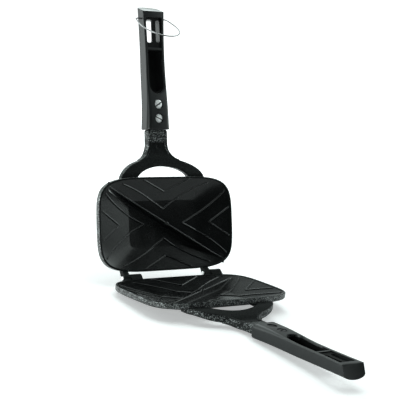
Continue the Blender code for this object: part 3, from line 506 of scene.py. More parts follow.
def sweep_tree(name, upright):
    """Sweeps an oval section along paths of edges, with its size eased by the ease attribute."""
    tree = new_tree(name, (
        ("Section Width", "NodeSocketFloat"),
        ("Section Height", "NodeSocketFloat"),
        ("Section Points", "NodeSocketInt"),
        ("Finish", "NodeSocketMaterial"),
    ))
    start, path, stand, ring, size, shaped, ease, sweep = (tree.nodes.new(kind) for kind in (
        "NodeGroupInput", "GeometryNodeMeshToCurve", "GeometryNodeSetCurveNormal", "GeometryNodeCurvePrimitiveCircle",
        "ShaderNodeCombineXYZ", "GeometryNodeTransform", "GeometryNodeInputNamedAttribute", "GeometryNodeCurveToMesh",
    ))
    stand.mode = "Z_UP" if upright else "MINIMUM_TWIST"
    ring.inputs["Radius"].default_value = 0.5
    size.inputs["Z"].default_value = 1.0
    ease.inputs["Name"].default_value = "ease"
    sweep.inputs["Fill Caps"].default_value = True
    link_all(tree, (
        (start, "Geometry", path, "Mesh"),
        (path, "Curve", stand, "Curve"),
        (start, "Section Points", ring, "Resolution"),
        (start, "Section Width", size, "X"),
        (start, "Section Height", size, "Y"),
        (ring, "Curve", shaped, "Geometry"),
        (size, "Vector", shaped, "Scale"),
        (stand, "Curve", sweep, "Curve"),
        (shaped, "Geometry", sweep, "Profile Curve"),
        (ease, "Attribute", sweep, "Scale"),
    ))
    return end_tree(tree, start, sweep, "Mesh")


def repeat_tree(name):
    """Repeats one fastener on points, turned by the turn attribute."""
    tree = new_tree(name, (
        ("Fastener", "NodeSocketObject"),
        ("Scale", "NodeSocketFloat"),
        ("Finish", "NodeSocketMaterial"),
    ))
    start, source, turn, place = (tree.nodes.new(kind) for kind in (
        "NodeGroupInput", "GeometryNodeObjectInfo", "GeometryNodeInputNamedAttribute", "GeometryNodeInstanceOnPoints",
    ))
    turn.data_type = "FLOAT_VECTOR"
    turn.inputs["Name"].default_value = "turn"
    link_all(tree, (
        (start, "Geometry", place, "Points"),
        (start, "Fastener", source, "Object"),
        (source, "Geometry", place, "Instance"),
        (turn, "Attribute", place, "Rotation"),
        (start, "Scale", place, "Scale"),
    ))
    return end_tree(tree, start, place, "Instances")


def guide(name, points, edges, label, kind, field, values):
    """Bare points and edges for a tree to work on, with one named attribute."""
    mesh = bpy.data.meshes.new(name)
    mesh.from_pydata([tuple(point) for point in points], edges, [])
    mesh.attributes.new(label, kind, "POINT").data.foreach_set(field, values)
    return add_object(name, mesh)


def paths_object(name, paths, ease=0.0):
    """An object of edges along paths, with an ease attribute that closes each end over a length."""
    points, edges, sizes = [], [], []
    for path in paths:
        path = np.asarray(path, float)
        first = len(points)
        along = distances(path)
        points += list(path)
        edges += [(first + i, first + i + 1) for i in range(len(path) - 1)]
        if ease:
            near = np.minimum(along, along[-1] - along) / ease
            sizes += list(np.sqrt(np.clip(1 - (1 - np.clip(near, 0, 1)) ** 2, 0.02, 1)))
        else:
            sizes += [1.0] * len(path)
    return guide(name, points, edges, "ease", "FLOAT", "value", sizes)


def points_object(name, places, turns):
    """An object of bare points, with a turn attribute."""
    return guide(name, places, [], "turn", "FLOAT_VECTOR", "vector", [part for turn in turns for part in turn])


# Finishes

class NodeKit:
    """Short calls for building a node tree of a material or of the world."""

    def __init__(self, tree):
        self.tree = tree
        self.place = self.node("ShaderNodeTexCoord").outputs["Object"]

    def feed(self, socket, value):
        """Links an output into a socket, or sets the socket's own value."""
        if hasattr(value, "is_output"):
            self.tree.links.new(value, socket)
        else:
            socket.default_value = value

    def node(self, kind, inputs=(), **settings):
        """A node with its settings, and with its inputs fed by label or number."""
        made = self.tree.nodes.new(kind)
        for key, value in settings.items():
            setattr(made, key, value)
        for label, value in dict(inputs).items():
            self.feed(made.inputs[label], value)
        return made

    def scaled(self, scale):
        return self.node("ShaderNodeMapping", {"Vector": self.place, "Scale": scale}).outputs["Vector"]

    def noise(self, scale, detail, vector=None):
        inputs = {"Vector": vector or self.place, "Scale": scale, "Detail": detail, "Roughness": 0.55}
        return self.node("ShaderNodeTexNoise", inputs).outputs["Fac"]

    def cells(self, scale):
        return self.node("ShaderNodeTexVoronoi", {"Vector": self.place, "Scale": scale}).outputs

    def ramp(self, value, stops):
        made = self.node("ShaderNodeValToRGB", {"Fac": value})
        elements = made.color_ramp.elements
        while len(elements) < len(stops):
            elements.new(0.5)
        for element, (position, level) in zip(elements, stops):
            element.position = position
            element.color = (level, level, level, 1.0)
        return made.outputs["Color"]

    def math(self, operation, *values):
        return self.node("ShaderNodeMath", enumerate(values), operation=operation).outputs[0]

    def mix(self, factor, first, second):
        """A colour between two, each an output or three numbers."""
        first, second = (value if hasattr(value, "is_output") else (*value, 1.0) for value in (first, second))
        return self.node("ShaderNodeMix", {0: factor, 6: first, 7: second}, data_type="RGBA").outputs[2]

    def range(self, value, low, high, start=0.3, end=0.7, **settings):
        """A value between low and high, as another goes from start to end."""
        inputs = {"Value": value, "From Min": start, "From Max": end, "To Min": low, "To Max": high}
        return self.node("ShaderNodeMapRange", inputs, **settings).outputs["Result"]

    def mottled(self, field, base, dark, light, start=0.3, end=0.7):
        """A colour that drifts with a field, from a darker to a lighter shade of its base."""
        return self.mix(self.range(field, 0.0, 1.0, start, end), lighter(base, dark), lighter(base, light))

    def bump(self, height, strength, distance, below=None):
        inputs = {"Height": height, "Strength": strength, "Distance": distance}
        if below:
            inputs["Normal"] = below
        return self.node("ShaderNodeBump", inputs).outputs["Normal"]


class FinishKit(NodeKit):
    """The same calls for a new material."""

    def __init__(self, name):
        self.material = bpy.data.materials.new(name)
        self.material.use_nodes = True
        super().__init__(self.material.node_tree)

    def set(self, **values):
        """Feeds the shader's sockets, named with underscores for spaces."""
        for label, value in values.items():
            self.feed(self.tree.nodes["Principled BSDF"].inputs[label.replace("_", " ")], value)


def lighter(shade, factor):
    return tuple(min(channel * factor, 1.0) for channel in shade)


def satin_finish(name, base, cloud, shades, roughness, grains, level):
    """A satin skin whose tone and gloss drift with one cloud, over layers of fine grain."""
    kit = FinishKit(name)
    drift = kit.noise(*cloud)
    normal = None
    for scale, detail, strength, distance in grains:
        normal = kit.bump(kit.noise(scale, detail), strength, distance, normal)
    kit.set(
        Base_Color=kit.mottled(drift, base, *shades),
        Roughness=kit.range(drift, *roughness),
        Normal=normal,
        Specular_IOR_Level=level,
    )


def coating_finish(name, base, fleck, coverage, grain, level, roughness, cell):
    """Dark coating of the outside, with flecks that glint where they face a lamp."""
    kit = FinishKit(name)
    cells = kit.cells(cell)
    chosen = kit.ramp(cells["Color"], ((0.0, 0.0), (1.0 - coverage, 0.0), (1.0 - coverage / 2, 0.8), (1.0, 1.0)))
    near = kit.ramp(cells["Distance"], ((0.0, 1.0), (0.42, 0.6), (0.75, 0.0)))
    dust = kit.math("MULTIPLY", chosen, near)
    ground = kit.mottled(kit.noise(500.0, 3.0), base, 0.5, 2.4, 0.35, 0.65)
    kit.set(
        Base_Color=kit.mix(dust, ground, fleck),
        Metallic=dust,
        Roughness=kit.range(kit.noise(700.0, 2.0), *roughness),
        Normal=kit.bump(kit.noise(800.0, 3.0), grain, 0.0004),
        Specular_IOR_Level=level,
    )


def phenolic_finish(name, base):
    """Charcoal phenolic moulding with a fine satin skin."""
    kit = FinishKit(name)
    cloud = kit.noise(26.0, 5.0)
    speck = kit.range(kit.noise(1900.0, 2.0), 0.0, 0.25, 0.62, 0.8)
    kit.set(
        Base_Color=kit.mix(speck, kit.mottled(cloud, base, 0.85, 1.2), lighter(base, 2.6)),
        Roughness=kit.range(cloud, 0.30, 0.37),
        Normal=kit.bump(kit.noise(1300.0, 3.0), 0.14, 0.00018),
        Specular_IOR_Level=0.5,
    )


def steel_finish(name, steel, brightness, scratches, roughness):
    """Steel with faint marks from handling, its brightness given for each piece; the darkest copies are painted shade.
    """
    kit = FinishKit(name)
    streaks = kit.noise(1.0, 3.0, kit.scaled(scratches))
    kit.set(
        Base_Color=kit.mottled(kit.noise(240.0, 3.0), lighter(steel, brightness), 0.86, 1.06, 0.3, 0.75),
        Metallic=1.0,
        Roughness=kit.range(streaks, *roughness, 0.25, 0.75),
        Normal=kit.bump(streaks, 0.08, 0.00008),
    )


def finishes():
    """The toaster's finishes, made once."""
    finish = bpy.context.scene.toaster_finish
    lining, coating, fleck, phenolic, steel = (
        tuple(getattr(finish, key)) for key in ("lining", "coating", "fleck", "phenolic", "steel")
    )
    # Satin skins: their colour, the cloud's scale and detail, shades, roughness, and grains from the lowest up
    spray = (lining, (38.0, 4.0), (0.8, 1.35), (0.22, 0.28), ((420.0, 2.0, 0.05, 0.0003), (1500.0, 2.0, 0.14, 0.0001)))
    ridge = (lining, (60.0, 3.0), (1.0, 2.0), (0.20, 0.28), ((900.0, 2.0, 0.10, 0.00008),))
    recess = (phenolic, (60.0, 3.0), (0.2, 0.4), (0.5, 0.6), ((1300.0, 3.0, 0.14, 0.00018),))
    turned_marks, drawn_marks = (900.0, 2500.0, 900.0), (300.0, 2500.0, 2500.0)
    for maker, name, *values in (
        (satin_finish, "nonstick_lining", *spray, 0.32),
        (satin_finish, "shaded_flank_lining", *spray, 0.10),
        (satin_finish, "polished_ridge_lining", *ridge, 0.55),
        (coating_finish, "smooth_coating", coating, fleck, 0.02, 0.30, 0.10, (0.26, 0.36), 1500.0),
        (coating_finish, "speckled_coating", coating, fleck, 0.64, 0.7, 0.40, (0.28, 0.40), 780.0),
        (coating_finish, "bracket_coating", coating, fleck, 0.46, 0.6, 0.22, (0.30, 0.42), 780.0),
        (phenolic_finish, "charcoal_phenolic_moulding", phenolic),
        (satin_finish, "shaded_recess_moulding", *recess, 0.12),
        (steel_finish, "slotted_screw_steel", steel, 1.28, turned_marks, (0.48, 0.58)),
        # Steel painted almost black for the base's screws: painted shade.
        (steel_finish, "dulled_screw_steel", steel, 0.09, turned_marks, (0.48, 0.58)),
        # Steel painted dark for the screws' slots: painted shade.
        (steel_finish, "screw_slot_grime", steel, 0.06, turned_marks, (0.6, 0.7)),
        (steel_finish, "polished_wire_steel", steel, 0.42, drawn_marks, (0.10, 0.18)),
    ):
        if name not in bpy.data.materials:
            maker(name, *values)
    return bpy.data.materials


# Trays

def tray_shell(half, tray):
    """The dished tray in one skin, from the underside round the rim to the pocket's floor."""
    rim = -tray.parting_gap / 2
    underside_exponent, underside_edge, face_share = 7.0, 0.00015, 0.985
    skirt_round, rim_round, step_round = tray.skirt_round, 0.0009, 0.00045

    def ring(half_x, half_y, exponent, z):
        return np.column_stack([superellipse(tray, half_x, half_y, exponent), np.full(RING_POINTS, z)])

    def outer(inset, z):
        return ring(tray.half_width - inset, tray.half_depth - inset, tray.squareness, z)

    under = ring(
        tray.underside_half_width, tray.underside_half_depth, underside_exponent, -tray.pocket_depth - tray.floor_wall
    )
    middle = np.array([0.0, tray_middle(tray), under[0, 2]])
    rows = [middle + (under - middle) * face_share, under + (0.0, 0.0, underside_edge)]
    rows += [
        outer(skirt_round * (1 - math.sin(t)), -tray.skirt + skirt_round * (1 - math.cos(t))) for t in quarter(7)
    ]
    rows += [outer(rim_round * (1 - math.cos(t)), rim - rim_round * (1 - math.sin(t))) for t in quarter(6)]
    rows += [
        outer(tray.rim_land - step_round + step_round * math.sin(t), rim - step_round * (1 - math.cos(t)))
        for t in quarter(4)
    ]
    lined = len(rows) - 2
    for share in np.linspace(1, 0, POCKET_ROWS):
        rows.append(ring(*pocket_shape(tray, share), blend(-tray.pocket_depth, rim - tray.rim_step, share)))
    made = lofted(half + "_tray_shell", rows)
    for face in made.data.polygons:
        face.material_index = LINED if min(face.vertices) // RING_POINTS >= lined else FLAT
    mark_sides(made.data)
    return made


def chevron_paths(tray):
    """The centre lines of all chevrons, flat, from leg end to leg end, measured from the tray's middle."""
    size = np.array([tray.half_width, tray.half_depth])
    curve_points, step = 30, 0.0008
    legs = [np.array(shares) * size for shares in (LONG_SIDE_OUTER_SHARES, SHORT_SIDE_OUTER_SHARES)]
    for shares in (LONG_SIDE_INNER_SHARES, SHORT_SIDE_INNER_SHARES):
        start, bend, end = np.array(shares) * size
        t = np.linspace(0, 1, curve_points)[:, None]
        legs.append((1 - t) ** 2 * start + 2 * t * (1 - t) * bend + t**2 * end)
    paths = []
    for order, leg in enumerate(legs):
        on_long_side = order % 2 == 0
        for side in (-1, 1):
            turned_leg = leg * ((1, side) if on_long_side else (side, 1))
            other = turned_leg * ((-1, 1) if on_long_side else (1, -1))
            path = np.vstack([other[::-1], turned_leg[1:]])
            paths.append(dense(path, step))
    return paths


def dense(path, step):
    """The same path with points at an even step, and its corners eased over a millimetre or two."""
    along = distances(path)
    places = np.linspace(0, along[-1], max(int(along[-1] / step), 8))
    fine = np.stack([np.interp(places, along, path[:, k]) for k in range(path.shape[1])], axis=1)
    for _ in range(2):
        fine[1:-1] = (fine[:-2] + 2 * fine[1:-1] + fine[2:]) / 4
    return fine


def divider_crest(tray):
    return -tray.parting_gap / 2 - tray.divider_drop


def divider_rows(tray, hand):
    """Cross sections of the slanting divider, with a filleted foot that follows the lining."""
    end = np.array([-hand * tray.divider_end_x, tray.divider_end_y])
    across = np.array([-end[1], end[0]]) / np.linalg.norm(end)
    crest = divider_crest(tray)
    half_foot, half_crest, fillet, crown_rise = tray.divider_foot / 2, 0.0009, 0.0022, 0.0002
    row_count, fillet_rise, foot_sunk, body_sunk = 150, fillet * 0.45, 0.00012, 0.00008
    offsets = np.concatenate([
        np.linspace(-half_foot - fillet, -half_foot, 7),
        np.linspace(-half_foot, -half_crest, 10)[1:],
        np.linspace(-half_crest, half_crest, 7)[1:-1],
        np.linspace(half_crest, half_foot, 10),
        np.linspace(half_foot, half_foot + fillet, 7)[1:],
    ])
    reach = np.abs(offsets)
    flank = crest - (reach - half_crest) / (half_foot - half_crest) * (crest + tray.pocket_depth)
    dome = np.sqrt(np.clip(1 - (reach / (half_crest * 1.3)) ** 2, 0, 1))
    crown = crest + 2 * crown_rise * dome - crown_rise
    body = np.where(reach < half_crest, crown, flank)
    fade = smooth((half_foot + fillet - reach) / (fillet * 0.6))
    rows = []
    for share in np.linspace(-1, 1, row_count):
        spots = end * share + across * offsets[:, None]
        ground = pocket_height(tray, spots[:, 0], spots[:, 1])
        edge = fillet_rise * np.clip(1 - np.abs(body - ground) / (fillet * 1.6), 0, 1) ** 2
        top = blend(ground - foot_sunk, np.maximum(body, ground) + edge - body_sunk, fade)
        buried = ground - tray.floor_wall * 0.35
        rows.append(section_of(spots + (0.0, tray_middle(tray)), top, buried[::-1]))
    return rows


def lug_spans(tray, hand):
    """The X ranges of a half's two lugs, in its own frame."""
    lid_width, base_width, half_gap = 0.0095, 0.019, 0.00035
    width = lid_width if hand > 0 else base_width
    hinge = tray.half_width - tray.lug_inset
    return [(near - width, near) for near in (-hinge - half_gap, hinge - half_gap)]


def near_edge(tray, x):
    """Where the tray's hinge side lies, at a place along the hinge."""
    share = (1 - (abs(x) / tray.half_width) ** tray.squareness) ** (1 / tray.squareness)
    return tray_middle(tray) - tray.half_depth * share


def hinge_lug(name, tray, span, heel):
    """A knuckle with its arm, and on the lid the heel that stops it against the base tray."""
    clearance, top, low, root_top, root_depth = 0.0003, -0.0005, -0.0082, -0.0021, 0.005
    heel_top, heel_low, arm_top = -0.002, -0.006, -0.0036
    turns = np.radians(np.linspace(45, 261, 37))
    outline = [(tray.knuckle * math.cos(t), tray.knuckle * math.sin(t)) for t in turns]
    edge = near_edge(tray, min(abs(x) for x in span))
    root = near_edge(tray, max(abs(x) for x in span)) + root_depth
    if heel:
        sine, cosine = math.sin(tray.lean), math.cos(tray.lean)
        reach = edge - clearance
        corners = ((-reach, heel_top), (-reach, heel_low), (0.0, heel_low))
        stops = [(y * sine + z * cosine, z * sine - y * cosine) for y, z in corners]
        upper = [p for p in outline if p[0] > -0.001 and p[1] > 0]
        outline = upper + stops + [p for p in outline if p[1] < arm_top]
    outline += [(edge, low), (root, low), (root, root_top), (edge - clearance, top)]
    made = lofted(name, [[(x, y, z) for y, z in outline] for x in span])
    face_outwards(made.data)
    soften_edges(made, 0.0005, 3, 38.0)
    return made


def pip_profile(tray):
    """A small rounded foot under the skirt."""
    radius, rounding = 0.0024, 0.0008
    low = -tray.skirt - 0.0016
    profile = [(radius, -tray.skirt + 0.003), (radius, low + rounding)]
    for t in np.linspace(0.2, np.pi / 2, 5):
        profile.append((radius - rounding * (1 - math.cos(t)), low + rounding * (1 - math.sin(t))))
    return profile


# Brackets

def crank(tray, y):
    """How far the bracket has stepped down from the arch to the neck, as a share."""
    level_length, step_length = 0.002, 0.038
    return smooth((np.asarray(y) - far_edge(tray) - level_length) / step_length)


def bracket_top(tray, bracket, y):
    return -blend(bracket.top_drop, bracket.neck_drop, crank(tray, y))


def bracket_underside(tray, bracket, y):
    return bracket_top(tray, bracket, y) - blend(bracket.thickness, bracket.neck_thickness, crank(tray, y))


def band(width, radius, corner_points, flat_points):
    """Places across a band with rounded edges, and how far its face falls away at each."""
    steps = radius * (1 - np.cos(quarter(corner_points)))
    flat = np.linspace(radius, width - radius, flat_points)[1:-1]
    offsets = np.concatenate([steps, flat, (width - steps)[::-1]])
    inward = np.clip(np.minimum(offsets, width - offsets) / radius, 0, 1)
    return offsets, radius * (1 - np.sqrt(1 - (1 - inward) ** 2))


def arch_rows(tray, bracket):
    """Cross sections of the arch's band, from foot to foot."""
    turns = np.linspace(0, np.pi, 121)
    foot = np.array([0.0, -0.009])  # the band's ends run on into the tray

    def curve(half_width, reach, setback):
        path = np.column_stack([half_width * np.cos(turns), far_edge(tray) - setback + reach * np.sin(turns)])
        return np.vstack([path[:1] + foot, path, path[-1:] + foot])

    outer = curve(bracket.half_width, bracket.reach, bracket.setback)
    inner = curve(bracket.opening_half_width, bracket.opening_reach, bracket.opening_setback)
    rows = []
    for far, near in zip(outer, inner):
        width = np.linalg.norm(near - far)
        offsets, fall = band(width, bracket.edge_round, 7, 8)
        spots = far + (near - far) / width * offsets[:, None]
        top = bracket_top(tray, bracket, spots[:, 1]) - fall
        rows.append(section_of(spots, top, bracket_underside(tray, bracket, spots[:, 1]) + fall))
    return rows


def neck_rows(tray, bracket):
    """Cross sections of the neck, with its flanges, recessed web, dimple and collar."""
    start_handle = handle_start(tray, bracket)
    flare_end = start_handle - 0.019
    collar = start_handle - COLLAR_LENGTH
    web_start, dimple_y = collar - 0.024, collar - 0.007
    end, end_round = start_handle - 0.0003, 0.003
    steepest = math.sin(math.radians(76))
    web_rise, web_fall, flange_fall = 0.009, 0.0016, 0.0014
    dimple_depth, dimple_radius, dimple_wall = 0.0011, 0.0023, 0.0012
    clear = 0.00004  # keeps the neck a hair inside the arch's faces
    stations = np.concatenate([
        np.linspace(flare_end - bracket.flare - 0.003, end - end_round, 84),
        end - end_round + end_round * np.sin(quarter(8)[1:]),
    ])
    rows = []
    for y in stations:
        below = min(max((flare_end - y) / bracket.flare, 0.0), steepest)
        half = bracket.neck_half_width + bracket.flare * (1 - math.cos(math.asin(below)))
        closing = max(y - (end - end_round), 0.0) / end_round
        half -= end_round * (1 - math.sqrt(max(1 - closing**2, 0.0)))
        offsets, fall = band(2 * half, bracket.edge_round, 6, 60)
        x = offsets - half
        ramp = smooth((y - web_start) / web_rise) * smooth((collar - y) / web_fall)
        web = bracket.web_drop * ramp * smooth((half - bracket.flange - np.abs(x)) / flange_fall)
        dimple = dimple_depth * smooth((dimple_radius - np.hypot(x, y - dimple_y)) / dimple_wall)
        top = float(bracket_top(tray, bracket, y)) - fall - web - dimple - clear
        low = float(bracket_underside(tray, bracket, y)) + fall + clear
        rows.append(section_of(np.column_stack([x, np.full(len(x), y)]), top, low))
    return rows


# Handles

def handle_half_width(handle, share):
    """Half width of a handle's face at a share of its length, narrowest at the waist."""
    waist = 0.62
    before = np.clip(1 - share / waist, 0, 1)
    after = np.clip((share - waist) / (1 - waist), 0, 1)
    return (
        handle.waist_half_width
        + (handle.neck_half_width - handle.waist_half_width) * before**1.7
        + (handle.end_half_width - handle.waist_half_width) * after**2
    )


def handle_face(handle, share):
    """Height of a handle's face at a share of its length: it dips to the grip and falls on to the end."""
    dip_start, dip_length, fall_start, fall_length = 0.10, 0.48, 0.58, 0.42
    dip = smooth((share - dip_start) / dip_length)
    end = np.clip(share - fall_start, 0, 1) / fall_length
    return -(blend(handle.neck_drop, handle.grip_drop, dip) + (handle.end_drop - handle.grip_drop) * end)


def handle_section(handle, start, share, inset, closing):
    """One outline of the handle: flat face, flat sides and a rounded back."""
    half = float(handle_half_width(handle, share)) - inset
    face = float(handle_face(handle, share)) - inset
    side = float(handle_face(handle, share)) - blend(handle.side_depth_neck, handle.side_depth_end, share)
    back = -blend(handle.back_drop_neck, handle.back_drop_end, share) + inset
    neck_corner, grip_corner, eased_length = 0.0065, 0.0013, 0.55
    corner = min(blend(neck_corner, grip_corner, float(smooth(share / eased_length))), (face - side) * 0.95)
    arc = [(half - corner + corner * math.sin(t), face - corner + corner * math.cos(t)) for t in quarter(9)]
    dome = [(half * math.cos(t), side - (side - back) * math.sin(t)) for t in np.linspace(0, np.pi, 31)]
    y, lean = start + handle.length * share, math.tan(handle.end_slant) * closing
    return [(x, y + (face - z) * lean, z) for x, z in arc + dome + [(-x, z) for x, z in arc[::-1]]]


def handle_solid(name, handle, start):
    """The whole handle before its cuts, with rounded ends."""
    edge, slant_start = 0.0012, 0.80
    last = 1 - edge / handle.length
    rows = []
    for t in quarter(5):
        share = edge * (1 - math.cos(t)) / handle.length
        rows.append(handle_section(handle, start, share, edge * (1 - math.sin(t)), 0))
    for share in np.linspace(0.02, last, 54):
        closing = float(smooth((share - slant_start) / (last - slant_start)))
        rows.append(handle_section(handle, start, share, 0.0, closing))
    for t in quarter(5)[1:]:
        share = last + edge * math.sin(t) / handle.length
        rows.append(handle_section(handle, start, share, edge * (1 - math.cos(t)), 1))
    return lofted(name, rows)


def recess_outline(handle, start, inset, low, high, round_end):
    """Half widths along the recess, rounded towards the screws and with small corners at the other end."""
    corner = 0.0015

    def half_at(y):
        return float(handle_half_width(handle, (y - start) / handle.length)) - handle.frame_width - inset

    radius = half_at(low) if round_end else corner
    rows = []
    for t in quarter(17):
        y = low + radius * (1 - math.cos(t))
        rows.append((y, max(half_at(y) - radius + radius * math.sin(t), 0.0003)))
    for share in (0.35, 0.55, 0.75):
        y = blend(low + radius, high - corner, share)
        rows.append((y, half_at(y)))
    for t in quarter(7)[::-1]:
        y = high - corner * (1 - math.cos(t))
        rows.append((y, half_at(y) - corner + corner * math.sin(t)))
    return rows


def face_cutter(name, handle, start, rows, depth, bevel):
    """A cutter that follows the handle's face at a depth, with slightly bevelled sides."""
    sections = []
    for y, half in rows:
        face = float(handle_face(handle, (y - start) / handle.length))
        foot = max(half - bevel, 0.0002)
        sections.append([
            (-foot, y, face - depth), (foot, y, face - depth), (half, y, face), (half, y, face + CUT_OVER),
            (-half, y, face + CUT_OVER), (-half, y, face),
        ])
    return lofted(name, sections)


def rounded_slot(name, x_range, y_range, z_range):
    """A cutter for a slot with rounded corners."""
    radius = 0.0032
    (left, right), (near, far) = x_range, y_range
    points = []
    for x, y, first in (
        (right - radius, far - radius, 0.0),
        (left + radius, far - radius, 0.5),
        (left + radius, near + radius, 1.0),
        (right - radius, near + radius, 1.5),
    ):
        for share in np.linspace(0, 0.5, 7):
            turn = math.pi * (first + share)
            points.append((x + radius * math.cos(turn), y + radius * math.sin(turn)))
    return lofted(name, [[(x, y, z) for x, y in points] for z in z_range])


def handle_body(half, tray, bracket, handle, with_loop):
    """A moulded handle with its socket, recess, rib, pocket, window, bar, screw seats and the loop's holes."""
    start = handle_start(tray, bracket)
    end = start + handle.length
    name = half + "_handle_grip"
    made = handle_solid(name, handle, start)

    recess_end, rib_y, half_rib = end - 0.0085, end - 0.0532, 0.0016
    recess_start = recess_end - 0.109
    low_end, up_start = rib_y - half_rib, rib_y + half_rib
    socket = TANG_HALF_WIDTH + SOCKET_CLEARANCE
    depths = (TANG_LOW - SOCKET_CLEARANCE, TANG_TOP + SOCKET_CLEARANCE)
    tools = [
        block(name + "_socket", (-socket, socket), (start - 0.001, start + TANG_REACH + SOCKET_CLEARANCE), depths)
    ]
    for label, inset, low, high, round_end, depth, bevel in (
        ("_rib", 0.0, recess_start, recess_end, True, 0.0007, 0.0003),
        ("_low", 0.0004, recess_start + 0.0008, low_end, True, handle.recess_depth, 0.0006),
        ("_up", 0.0004, up_start, recess_end - 0.0008, False, handle.recess_depth, 0.0006),
        ("_pocket", 0.0024, recess_start + 0.0024, low_end - 0.0012, True, handle.pocket_depth, 0.0008),
    ):
        rows = recess_outline(handle, start, inset, low, high, round_end)
        tools.append(face_cutter(name + label, handle, start, rows, depth, bevel))

    window_low, window_high, behind = end - 0.0445, end - 0.0125, -0.052
    side = float(handle_half_width(handle, (window_low - start) / handle.length)) - handle.frame_width - 0.0008
    over = float(handle_face(handle, 0.8)) + CUT_OVER
    window_face = float(handle_face(handle, (window_high - start) / handle.length))
    half_bar, bar_shift, right_side = handle.bar_width / 2, 0.0008, side - 0.0018
    for label, x_range, top in (
        ("left", (-side, bar_shift - half_bar), over),
        ("right", (bar_shift + half_bar, right_side), over),
        ("rear", (-side, right_side), window_face - handle.recess_depth - handle.bar_depth),
    ):
        tools.append(rounded_slot(f"{name}_{label}", x_range, (window_low, window_high), (behind, top)))

    seat_radius, seat_low, seat_top = handle.screw_radius + 0.0006, -0.0166, -0.005
    for y in screw_places(tray, bracket):
        tools.append(turned(f"{name}_seat", ((seat_radius, seat_low), (seat_radius, seat_top)), (0, y)))
    if with_loop:
        pivot = end - PIVOT_SETBACK
        wall = float(handle_half_width(handle, (pivot - start) / handle.length))
        hole_radius, hole_depth = 0.0013, 0.007
        for sign in (-1, 1):
            hole = turned(f"{name}_hole", ((hole_radius, 0.0), (hole_radius, hole_depth)), (0, 0), 24)
            outside = Matrix.Translation((sign * (wall + 0.001), pivot, -PIVOT_DROP))
            hole.data.transform(outside @ Matrix.Rotation(-sign * math.pi / 2, 4, "Y"))
            tools.append(hole)
    for piece in (*tools, made):
        face_outwards(piece.data)
    cut_away(made, tools)
    soften_edges(made, 0.0004, 2, 32.0)

    made.data.materials.clear()
    for finish in ("charcoal_phenolic_moulding", "shaded_recess_moulding"):
        made.data.materials.append(bpy.data.materials[finish])
    window_shade, pocket_shade, lip = 0.003, 0.016, 0.0014
    for polygon in made.data.polygons:
        x, y, z = polygon.center
        share = (y - start) / handle.length
        face = handle_face(handle, share)
        depth = window_shade if y > up_start else pocket_shade
        inside = recess_start < y < recess_end and abs(x) < handle_half_width(handle, share) - handle.frame_width
        polygon.material_index = int(inside and face - depth < z < face - lip)
    return made


# Screws, pins and the loop

def screw_places(tray, bracket):
    first = handle_start(tray, bracket) + SCREW_SETBACK
    return (first, first + SCREW_SPACING)


def screw_template(handle):
    """One slotted screw, standing on its own axis with its head up."""
    radius, shank, tip, under = handle.screw_radius, 0.0024, -0.0255, 0.0002
    side_top = SCREW_SEAT + SCREW_SIDE
    profile = [(shank, tip), (shank, SCREW_SEAT), (radius - under, SCREW_SEAT), (radius, SCREW_SEAT + under)]
    profile += [(radius * math.sin(t), side_top + SCREW_DOME * math.cos(t)) for t in np.linspace(np.pi / 2, 0.06, 9)]
    made = turned("screw_template", profile, (0, 0), 56)
    top, half_slot = side_top + SCREW_DOME, handle.slot_width / 2
    depths = (top - handle.slot_depth - 0.0004, top + 0.002)
    slot = block("screw_template_slot", (-0.008, 0.008), (-half_slot, half_slot), depths)
    for piece in (made, slot):
        face_outwards(piece.data)
    cut_away(made, [slot])
    soften_edges(made, 0.00018, 2, 40.0)
    return made


def paint_slot_shade(mesh, handle, places, grime):
    """Paints shade on the slots' floors and walls: they get a dark steel finish."""
    mesh.materials.append(grime)
    rim, above_seat, under_crown = 0.0001, 0.0003, 0.00035
    for polygon in mesh.polygons:
        x, y, z = polygon.center
        off = min(math.hypot(x, y - place[1]) for place in places)
        crown = SCREW_SEAT + SCREW_SIDE + SCREW_DOME * math.sqrt(max(1 - (off / handle.screw_radius) ** 2, 0.0))
        if off < handle.screw_radius - rim and SCREW_SEAT + above_seat < z < crown - under_crown:
            polygon.material_index = len(mesh.materials) - 1


def pin_template():
    """One headed hinge pin along X, from its tail to its domed head."""
    reach, radius, head, side = 0.0303, 0.0015, 0.0028, 0.0004
    profile = [(0.0013, 0.0), (radius, 0.0002), (radius, reach), (0.0027, reach)]
    profile += [(head * math.cos(t), reach + side + 2 * side * math.sin(t)) for t in np.linspace(0, 1.45, 7)]
    made = turned("pin_template", profile, (0, 0), 40)
    made.data.transform(Matrix.Rotation(math.pi / 2, 4, "Y"))
    face_outwards(made.data)
    return made


def loop_path(loop, wall):
    """The loop's centre line from tail to tail, flat, with its reach along Z."""
    corner, sunk = 0.005, 0.0046
    side = [(wall - sunk, 0.0)]
    middle = (loop.shoulder - corner, corner)
    for t in np.linspace(-np.pi / 2, 0, 12):
        side.append((middle[0] + corner * math.cos(t), middle[1] + corner * math.sin(t)))
    tip = loop.reach - loop.tip_reach
    lower = np.array(side[-1])
    upper = np.array((loop.half_width, tip))
    for share in np.linspace(0, 1, 14)[1:-1]:
        eased = blend(lower, upper, share)
        eased[0] = blend(lower[0], upper[0], math.sin(share * math.pi / 2))
        side.append(tuple(eased))
    for t in quarter(loop.segments // 2):
        side.append((loop.half_width * math.cos(t), tip + loop.tip_reach * math.sin(t)))
    return [(x, 0.0, z) for x, z in side] + [(-x, 0.0, z) for x, z in side[-2::-1]]


# Operators

class ToasterOperator:
    """What the operators share"""

    bl_options = {"REGISTER", "UNDO"}

    @property
    def settings(self):
        scene = bpy.context.scene
        return scene.toaster_tray, scene.toaster_bracket, scene.toaster_handle


